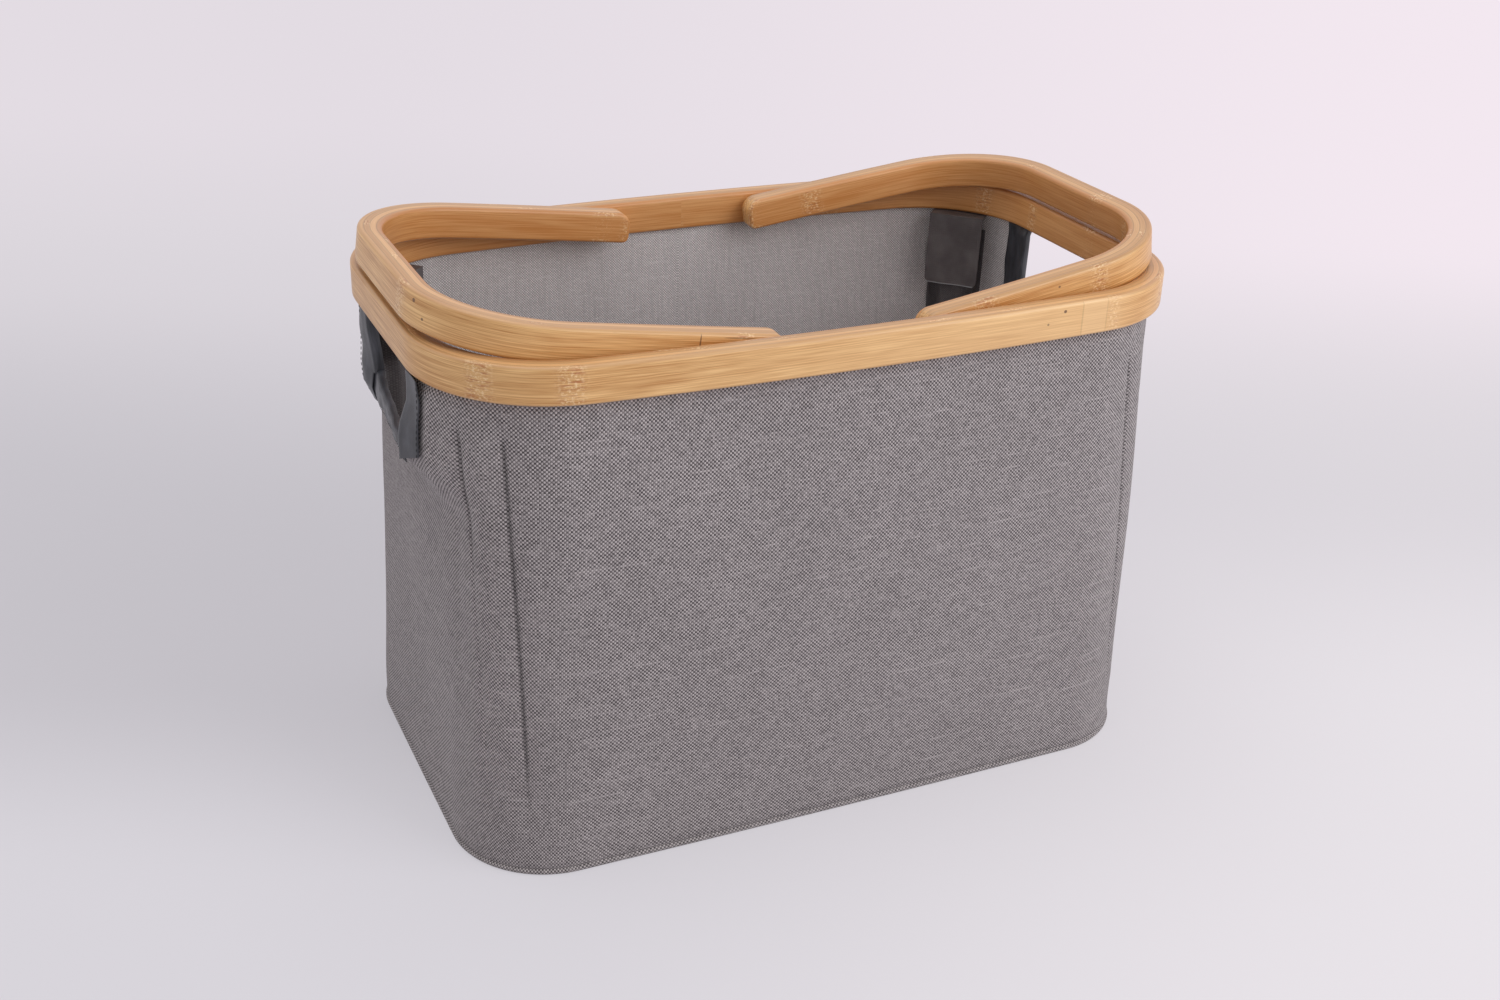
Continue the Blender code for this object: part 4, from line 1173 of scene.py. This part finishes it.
rim_outline = BentOutline(rim_length, rim_width, rim_side_bow, rim_end_bow, rim_corner_radius)
rim_line, rim_outward = rim_outline.around(*rim_steps)
half_rim = rim_height / 2
groove_end = groove_start + groove_width
groove_roof = groove_depth - half_rim
rim_section = rounded_section(0, rim_thickness, -half_rim, half_rim, rim_arris)
groove = np.array(((groove_end, -half_rim), (groove_end, groove_roof),
                   (groove_start, groove_roof), (groove_start, -half_rim)))
rim_section = np.concatenate((rim_section, groove))
rim_across = rim_line[:, None] - rim_outward[:, None] * rim_section[:, :1]
rim_levels = rim_section[:, 1] + rim_bottom + half_rim
rim_places = np.dstack(np.broadcast_arrays(*rim_across.transpose(2, 0, 1), rim_levels))
rim_along = running_length(np.concatenate((rim_line, rim_line[:1])))
rim_round = np.concatenate((rim_section, rim_section[:1]))
rim_strip = np.dstack(np.broadcast_arrays(rim_along[:, None], *rim_round.T))
bamboo_rim = net("bamboo_rim", rim_places, close_rows=True, close_columns=True, strip=rim_strip)
face_outwards(bamboo_rim, 40)
rim_bamboo = bamboo_finish("rim_bamboo", rim_thickness, rim_height, rim_knuckles, rim_scars, rim_splice)
bamboo_rim.data.materials.append(rim_bamboo)
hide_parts("rim_ring")
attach(bamboo_rim, "rim")


# Pocket tabs: a short dark header sewn in under the rim carries a tab of hook tape, which closes
# the pocket over the rod's head and grips a patch of loop tape on the pocket's front.
tab_half_width = 0.0175
tab_top = 0.2727
tab_height = 0.047
tab_thickness = 0.0012
tab_gap = 0.0003
patch_thickness = 0.0010
patch_half_width = 0.0075
patch_top = 0.2570
patch_height = 0.026
slab_corner_radius = 0.004
header_thickness = 0.0008
header_points = 14
tab_bend = 0.0012
tab_sheen_band = 0.0022
hook_pitch = 0.0014
hook_light = (112, 105, 106)
hook_dark = (84, 78, 79)
selvedge_sheen_colour = (176, 176, 180)
loop_light = (78, 75, 78)
loop_dark = (46, 44, 46)

hook_tape = Finish("hook_tape", 0.62, Coat_Weight=0.1, Coat_Roughness=0.35)
along, across = hook_tape.chart("weave")
hooks = ((along / hook_pitch).wave() * (across / hook_pitch).wave()).size()
patchy = hook_tape.noise(hook_tape.join(along * 55.0, across * 55.0), detail=3.0)
# A band along the tab's lower edge is painted pale and silvery: the sheen of its smooth selvedge.
selvedge = hook_tape.lay("marks")[0].ramped(0.5, 0.9)
hook_tone = hook_tape.blend(patchy.ramped(0.3, 0.8), paint(hook_dark), paint(hook_light))
hook_tape.colour(hook_tape.blend(selvedge * 0.75, hook_tone, paint(selvedge_sheen_colour)))
hook_tape.relief(hooks, 0.00016)
loop_tape = Finish("loop_tape", 0.95, Sheen_Weight=0.4, Sheen_Roughness=0.6)
pile = loop_tape.noise(loop_tape.place(), 2600.0, 4.0, 0.7)
loop_tape.colour(loop_tape.blend(pile.ramped(0.3, 0.7), paint(loop_dark), paint(loop_light)))
loop_tape.relief(pile, 0.00035)


def corner_slab(name, corner, half_width, from_front, thickness, low, top, bend=0.0, selvedge=0.0):
    """A thin upright piece in front of a pocket, with rounded lower corners and a slight bend.

    selvedge is the height of a paler band along its lower edge: painted sheen on the tape's smooth
    selvedge.
    """
    z = np.linspace(top, low, 26)[:, None]
    across = np.linspace(-1, 1, 22)[None, :]
    rod_along, rod_out = rod_in_corner(z)
    from_low = np.clip((z - low) / slab_corner_radius, 0, 1)
    half = half_width - slab_corner_radius * 0.6 * (1 - np.sqrt(1 - (1 - from_low) ** 2))
    along = rod_along + across * half
    down = (top - z) / (top - low)
    near = rod_out - cap_radius - tab_gap - pocket_thickness - from_front
    near = near - bend * down ** 1.5 * (0.4 + 0.6 * np.sin(across * 2.1 + 0.7) ** 2)
    front = in_corner(corner, along, near, z)
    behind = in_corner(corner, along, near - thickness, z)
    shell = np.concatenate((front, behind[:, ::-1]), 1)
    band = 1 - eased(low, low + selvedge, z) if selvedge else z * 0
    chart = np.dstack(np.broadcast_arrays(across * half_width, z))
    marks = np.dstack(np.broadcast_arrays(band, z * 0, across * 0))
    chart, marks = (np.concatenate((flat, flat[:, ::-1], flat[:, :1]), 1) for flat in (chart, marks))
    piece = net(name, shell, close_columns=True, cap=True, weave=chart, marks=marks)
    face_outwards(piece, 50)
    return piece


for corner in corners:
    patch = corner_slab(corner + "_loop_patch", corner, patch_half_width, tab_gap, patch_thickness,
                        patch_top - patch_height, patch_top)
    patch.data.materials.append(loop_tape.material)
    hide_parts("loop_patch_" + corner)
    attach(patch, "base")
    fold_down(patch)
    from_front = patch_thickness + 2 * tab_gap
    tab = corner_slab(corner + "_tab", corner, tab_half_width, from_front, tab_thickness,
                      tab_top - tab_height, tab_top, tab_bend, tab_sheen_band)
    tab.data.materials.append(hook_tape.material)
    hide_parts("flap_" + corner)
    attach(tab, "flap_" + corner)
    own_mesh(tab)
    _, rod_out = rod_in_corner(tab_top)
    near = rod_out - cap_radius - pocket_thickness - from_front
    across = np.linspace(-1, 1, header_points) * tab_half_width
    levels = np.array((tab_top - header_thickness, tab_top))
    rows = []
    for level in levels:
        z = np.full(header_points, level)
        far = lining_out(corner, across, z) - pocket_gap
        rows.append(np.concatenate((in_corner(corner, across, near, z),
                                    in_corner(corner, across[::-1], far[::-1], z))))
    header_round = np.linspace(0, 0.1, 2 * header_points + 1)
    header_chart = np.dstack(np.broadcast_arrays(header_round, levels[:, None]))
    header = net(corner + "_tab_header", np.array(rows), close_columns=True, cap=True,
                 weave=header_chart, marks=np.zeros((2, len(header_round), 3)))
    face_outwards(header)
    header.data.shade_flat()
    header.data.materials.append(hook_tape.material)
    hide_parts("flap_header_" + corner)
    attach(header, "rim")


# Handles: two strips of the same layered bamboo, bent to the rim's outline and laid inside its
# long sides. Each turns on two hidden pins, and its bend rests on the rim at a slight tilt.
handle_width = 0.236
handle_corner_radius = 0.0726
handle_thickness = 0.0135
handle_height = 0.0185
handle_arris = 0.0020
pivot_x = 0.049
pivot_z = 0.283
arm_tail = 0.009
arm_top_radius = 0.0085
arm_bottom_radius = 0.0040
arm_side_radius = 0.0018
arm_end_gap = 0.0008
rest_tilt = math.radians(7.886978)


def handle_strip(name, side):
    """A bent strip from one rounded arm end to the other, tilted about its pins."""
    start = pivot_x - arm_tail
    whole = BentOutline(rim_length, handle_width, rim_side_bow, rim_end_bow, handle_corner_radius)
    line, outward = whole.quarter(44, 52, 26, start)
    near_end = start + arm_top_radius * (1 - np.cos(np.linspace(0, math.pi / 2, 14)))
    rise = np.sqrt(whole.side_radius ** 2 - near_end ** 2)
    end_line = np.column_stack((near_end, whole.side_middle[1] + rise))
    end_outward = np.column_stack((near_end, rise)) / whole.side_radius
    beyond = line[:, 0] > near_end[-1] + arm_end_gap
    line = mirrored(np.concatenate((end_line, line[beyond])))
    outward = mirrored(np.concatenate((end_outward, outward[beyond])))
    from_end = line[:, 0] - start
    top = np.full(len(line), handle_height / 2)
    low = -top
    inset = np.zeros(len(line))
    for limit, radius in ((top, -arm_top_radius), (low, arm_bottom_radius), (inset, arm_side_radius)):
        reach = abs(radius)
        near = from_end < reach
        run = reach - np.maximum(from_end[near], 0)
        limit[near] += math.copysign(1, radius) * (reach - np.sqrt(reach ** 2 - run ** 2))
    rows, sections = [], []
    for point, out, up, down, narrow, along in zip(line, outward, top, low, inset, running_length(line)):
        section = rounded_section(narrow, handle_thickness - narrow, down, up, handle_arris)
        rows.append(np.column_stack((point - out * section[:, :1], section[:, 1])))
        sections.append(np.column_stack((np.full(len(section), along), section)))
    places, sections = np.array(rows), np.array(sections)
    strip = np.concatenate((sections, sections[:, :1]), 1)
    places[..., 0] -= pivot_x
    x, z = places[..., 0].copy(), places[..., 2].copy()
    places[..., 0] = side * (pivot_x + x * math.cos(rest_tilt) - z * math.sin(rest_tilt))
    places[..., 2] = pivot_z + x * math.sin(rest_tilt) + z * math.cos(rest_tilt)
    piece = net(name, places, close_columns=True, cap=True, strip=strip)
    face_outwards(piece, 60)
    return piece


handle_marks = {
    "left": (((0.305, 0.010), (0.090, 0.010), (0.500, 0.007)),
             ((0.3225, 0.0051, 0.0013, 0.0011, 0.75), (0.3307, -0.0021, 0.0009, 0.0008, 0.75),
              (0.4761, 0.0040, 0.0004, 0.0050, 0.75), (0.4971, 0.0072, 0.0090, 0.0004, 0.5))),
    "right": (((0.487, 0.011), (0.128, 0.010), (0.414, 0.009)), ((0.4407, 0.004, 0.0008, 0.0007, 0.7),)),
}
for name, side in (("left", -1), ("right", 1)):
    strip = handle_strip(name + "_bail", side)
    knuckles, scars = handle_marks[name]
    bamboo = bamboo_finish(name + "_bail_bamboo", handle_thickness, handle_height, knuckles, scars)
    strip.data.materials.append(bamboo)
    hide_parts(name + "_handle")
    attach(strip, name + "_handle")


# Pivots: a headless steel pin is blind in the rim and in the arm, and a nylon washer on it keeps
# the two apart.
pin_light = (200, 200, 202)
pin_dark = (172, 172, 174)
washer_light = (222, 217, 206)
washer_dark = (206, 200, 188)

pin_steel = grainy("pin_steel", 0.3, pin_dark, pin_light, scale=(4000.0, 300.0, 4000.0), detail=3.0,
                   Metallic=1.0)
washer_nylon = grainy("washer_nylon", 0.45, washer_dark, washer_light, scale=700.0, detail=2.0)
for corner in corners:
    dress("pivot_pin_" + corner, pin_steel)
    dress("pivot_washer_" + corner, washer_nylon)


# Hem tape: a narrow dark woven tape sewn round the inside of the body's hem, of which a thin line
# shows below the rim's inner edge.
hem_tape_light = (76, 79, 86)
hem_tape_dark = (58, 60, 66)

hem_tape = grainy("hem_tape", 0.6, hem_tape_dark, hem_tape_light, scale=1500.0, detail=2.0, depth=0.0001)
dress("hem_tape", hem_tape)


# Studio: a pale floor that sweeps up behind the basket, a broad soft lamp at the front right, another
# above, a weak one at the left, and the camera where the photograph was taken from.
floor_colour = (206, 202, 209)
floor_near = 2.2
floor_far = 2.0
floor_half_width = 4.0
sweep_radius = 1.0
backdrop_top = 4.0
left_painted_tones = ((226, 223, 229), (204, 201, 207), (220, 215, 221), (227, 220, 227))
left_bands = ((-0.20, 0.0), (0.24, 0.75), (0.75, 1.5))
right_painted_tones = ((244, 239, 243), (228, 223, 228), (243, 232, 240))
right_bands = ((-0.02, 0.35), (0.35, 1.1))
key_power = 14.2
top_power = 14.0
fill_power = 3.0
sky_strength = 0.54
lamps_aim = (0, 0, 0.15)
view_azimuth = math.radians(-25.28)
view_elevation = math.radians(25.75)
view_roll = math.radians(1.93)
view_aim = (-0.0025, 0.1391)
view_distance = 1.0579
view_length_in_pixels = 1754.6
photo_width_in_pixels = 1500
sensor_width_in_mm = 36

stage = Finish("sweep", 0.9)
sideways, away = stage.chart("weave")
stage.colour(paint(floor_colour))


def away_from_view(tones, bands):
    """The floor's painted tone from near to far, which changes to the next one over each band."""
    tone = paint(tones[0])
    for band, later in zip(bands, tones[1:]):
        tone = stage.blend(away.ramped(*band), tone, paint(later))
    return tone


# As the camera sees it, the floor glows in painted tones: a darker band at the left stands for a soft
# shadow, and it grows lighter to the right and far off.
left_tone = away_from_view(left_painted_tones, left_bands)
right_tone = away_from_view(right_painted_tones, right_bands)
towards_right = (sideways / (away + 1.15)).ramped(-0.26, 0.40)
painted_backdrop_light = stage.blend(towards_right, left_tone, right_tone)
backdrop = stage.node("ShaderNodeEmission", "Emission", Color=painted_backdrop_light)
sight = stage.tree.nodes.new("ShaderNodeLightPath")
seen = Value(stage, sight.outputs["Is Camera Ray"])
for way in ("Is Glossy Ray", "Is Transmission Ray"):
    seen = seen.larger(Value(stage, sight.outputs[way]))
both = stage.tree.nodes.new("ShaderNodeMixShader")
# Near the basket the glow covers only part of the floor, so its lit shade and the basket's shadow still
# show; further off it covers it all.
stage.feed(both.inputs[0], seen * (away.ramped(0.2, 1.0) * 0.38 + 0.62))
stage.feed(both.inputs[1], stage.shader.outputs[0])
stage.feed(both.inputs[2], backdrop)
stage.feed(stage.tree.nodes["Material Output"].inputs["Surface"], both.outputs[0])
profile = [(-floor_near, 0.0), (floor_far, 0.0)]
for turn in np.radians(np.arange(7.5, 91, 7.5)):
    profile.append((floor_far + sweep_radius * math.sin(turn), sweep_radius * (1 - math.cos(turn))))
profile.append((floor_far + sweep_radius, backdrop_top))
floor_sides = (-floor_half_width, floor_half_width)
sweep_places = np.array([[(x, y, z) for x in floor_sides] for y, z in profile])
cosine, sine = math.cos(view_azimuth), math.sin(view_azimuth)
spin = np.array(((cosine, -sine, 0), (sine, cosine, 0), (0, 0, 1)))
sweep_length = running_length(np.array(profile))[:, None] - floor_near
sweep_chart = np.dstack(np.broadcast_arrays(floor_sides, sweep_length))
sweep = net("sweep", sweep_places @ spin.T, weave=sweep_chart)
sweep.data.materials.append(stage.material)

level = math.cos(view_elevation)
back = Vector((sine * level, -cosine * level, math.sin(view_elevation)))
right = Vector((cosine, sine, 0))
up = back.cross(right)
rolled_right = right * math.cos(view_roll) + up * math.sin(view_roll)
rolled_up = up * math.cos(view_roll) - right * math.sin(view_roll)
camera_data = bpy.data.cameras.new("camera")
camera_data.sensor_width = sensor_width_in_mm
camera_data.lens = view_length_in_pixels / photo_width_in_pixels * sensor_width_in_mm
camera = shown("camera", camera_data)
place = right * view_aim[0] + Vector((0, 0, view_aim[1])) + back * view_distance
facing = Matrix((rolled_right, rolled_up, back)).transposed().to_4x4()
camera.matrix_world = Matrix.Translation(place) @ facing
bpy.context.scene.camera = camera


def soft_lamp(name, place, aim, size, power):
    """A square lamp with a plain white face."""
    lamp = bpy.data.lights.new(name, "AREA")
    lamp.size = size
    lamp.energy = power
    holder = shown(name, lamp)
    holder.location = place
    holder.rotation_mode = "QUATERNION"
    holder.rotation_quaternion = (Vector(aim) - Vector(place)).to_track_quat("-Z", "Y")


soft_lamp("key", (0.96, -1.12, 1.03), lamps_aim, 1.3, key_power)
soft_lamp("top", (-0.2, 0.5, 2.2), lamps_aim, 1.6, top_power)
soft_lamp("fill", (-1.9, 0.6, 1.1), lamps_aim, 1.4, fill_power)
world = bpy.data.worlds.new("studio")
world.use_nodes = True
sky = world.node_tree.nodes["Background"].inputs
sky["Color"].default_value = (1, 1, 1, 1)
sky["Strength"].default_value = sky_strength
bpy.context.scene.world = world
bpy.context.scene.view_settings.view_transform = "Standard"
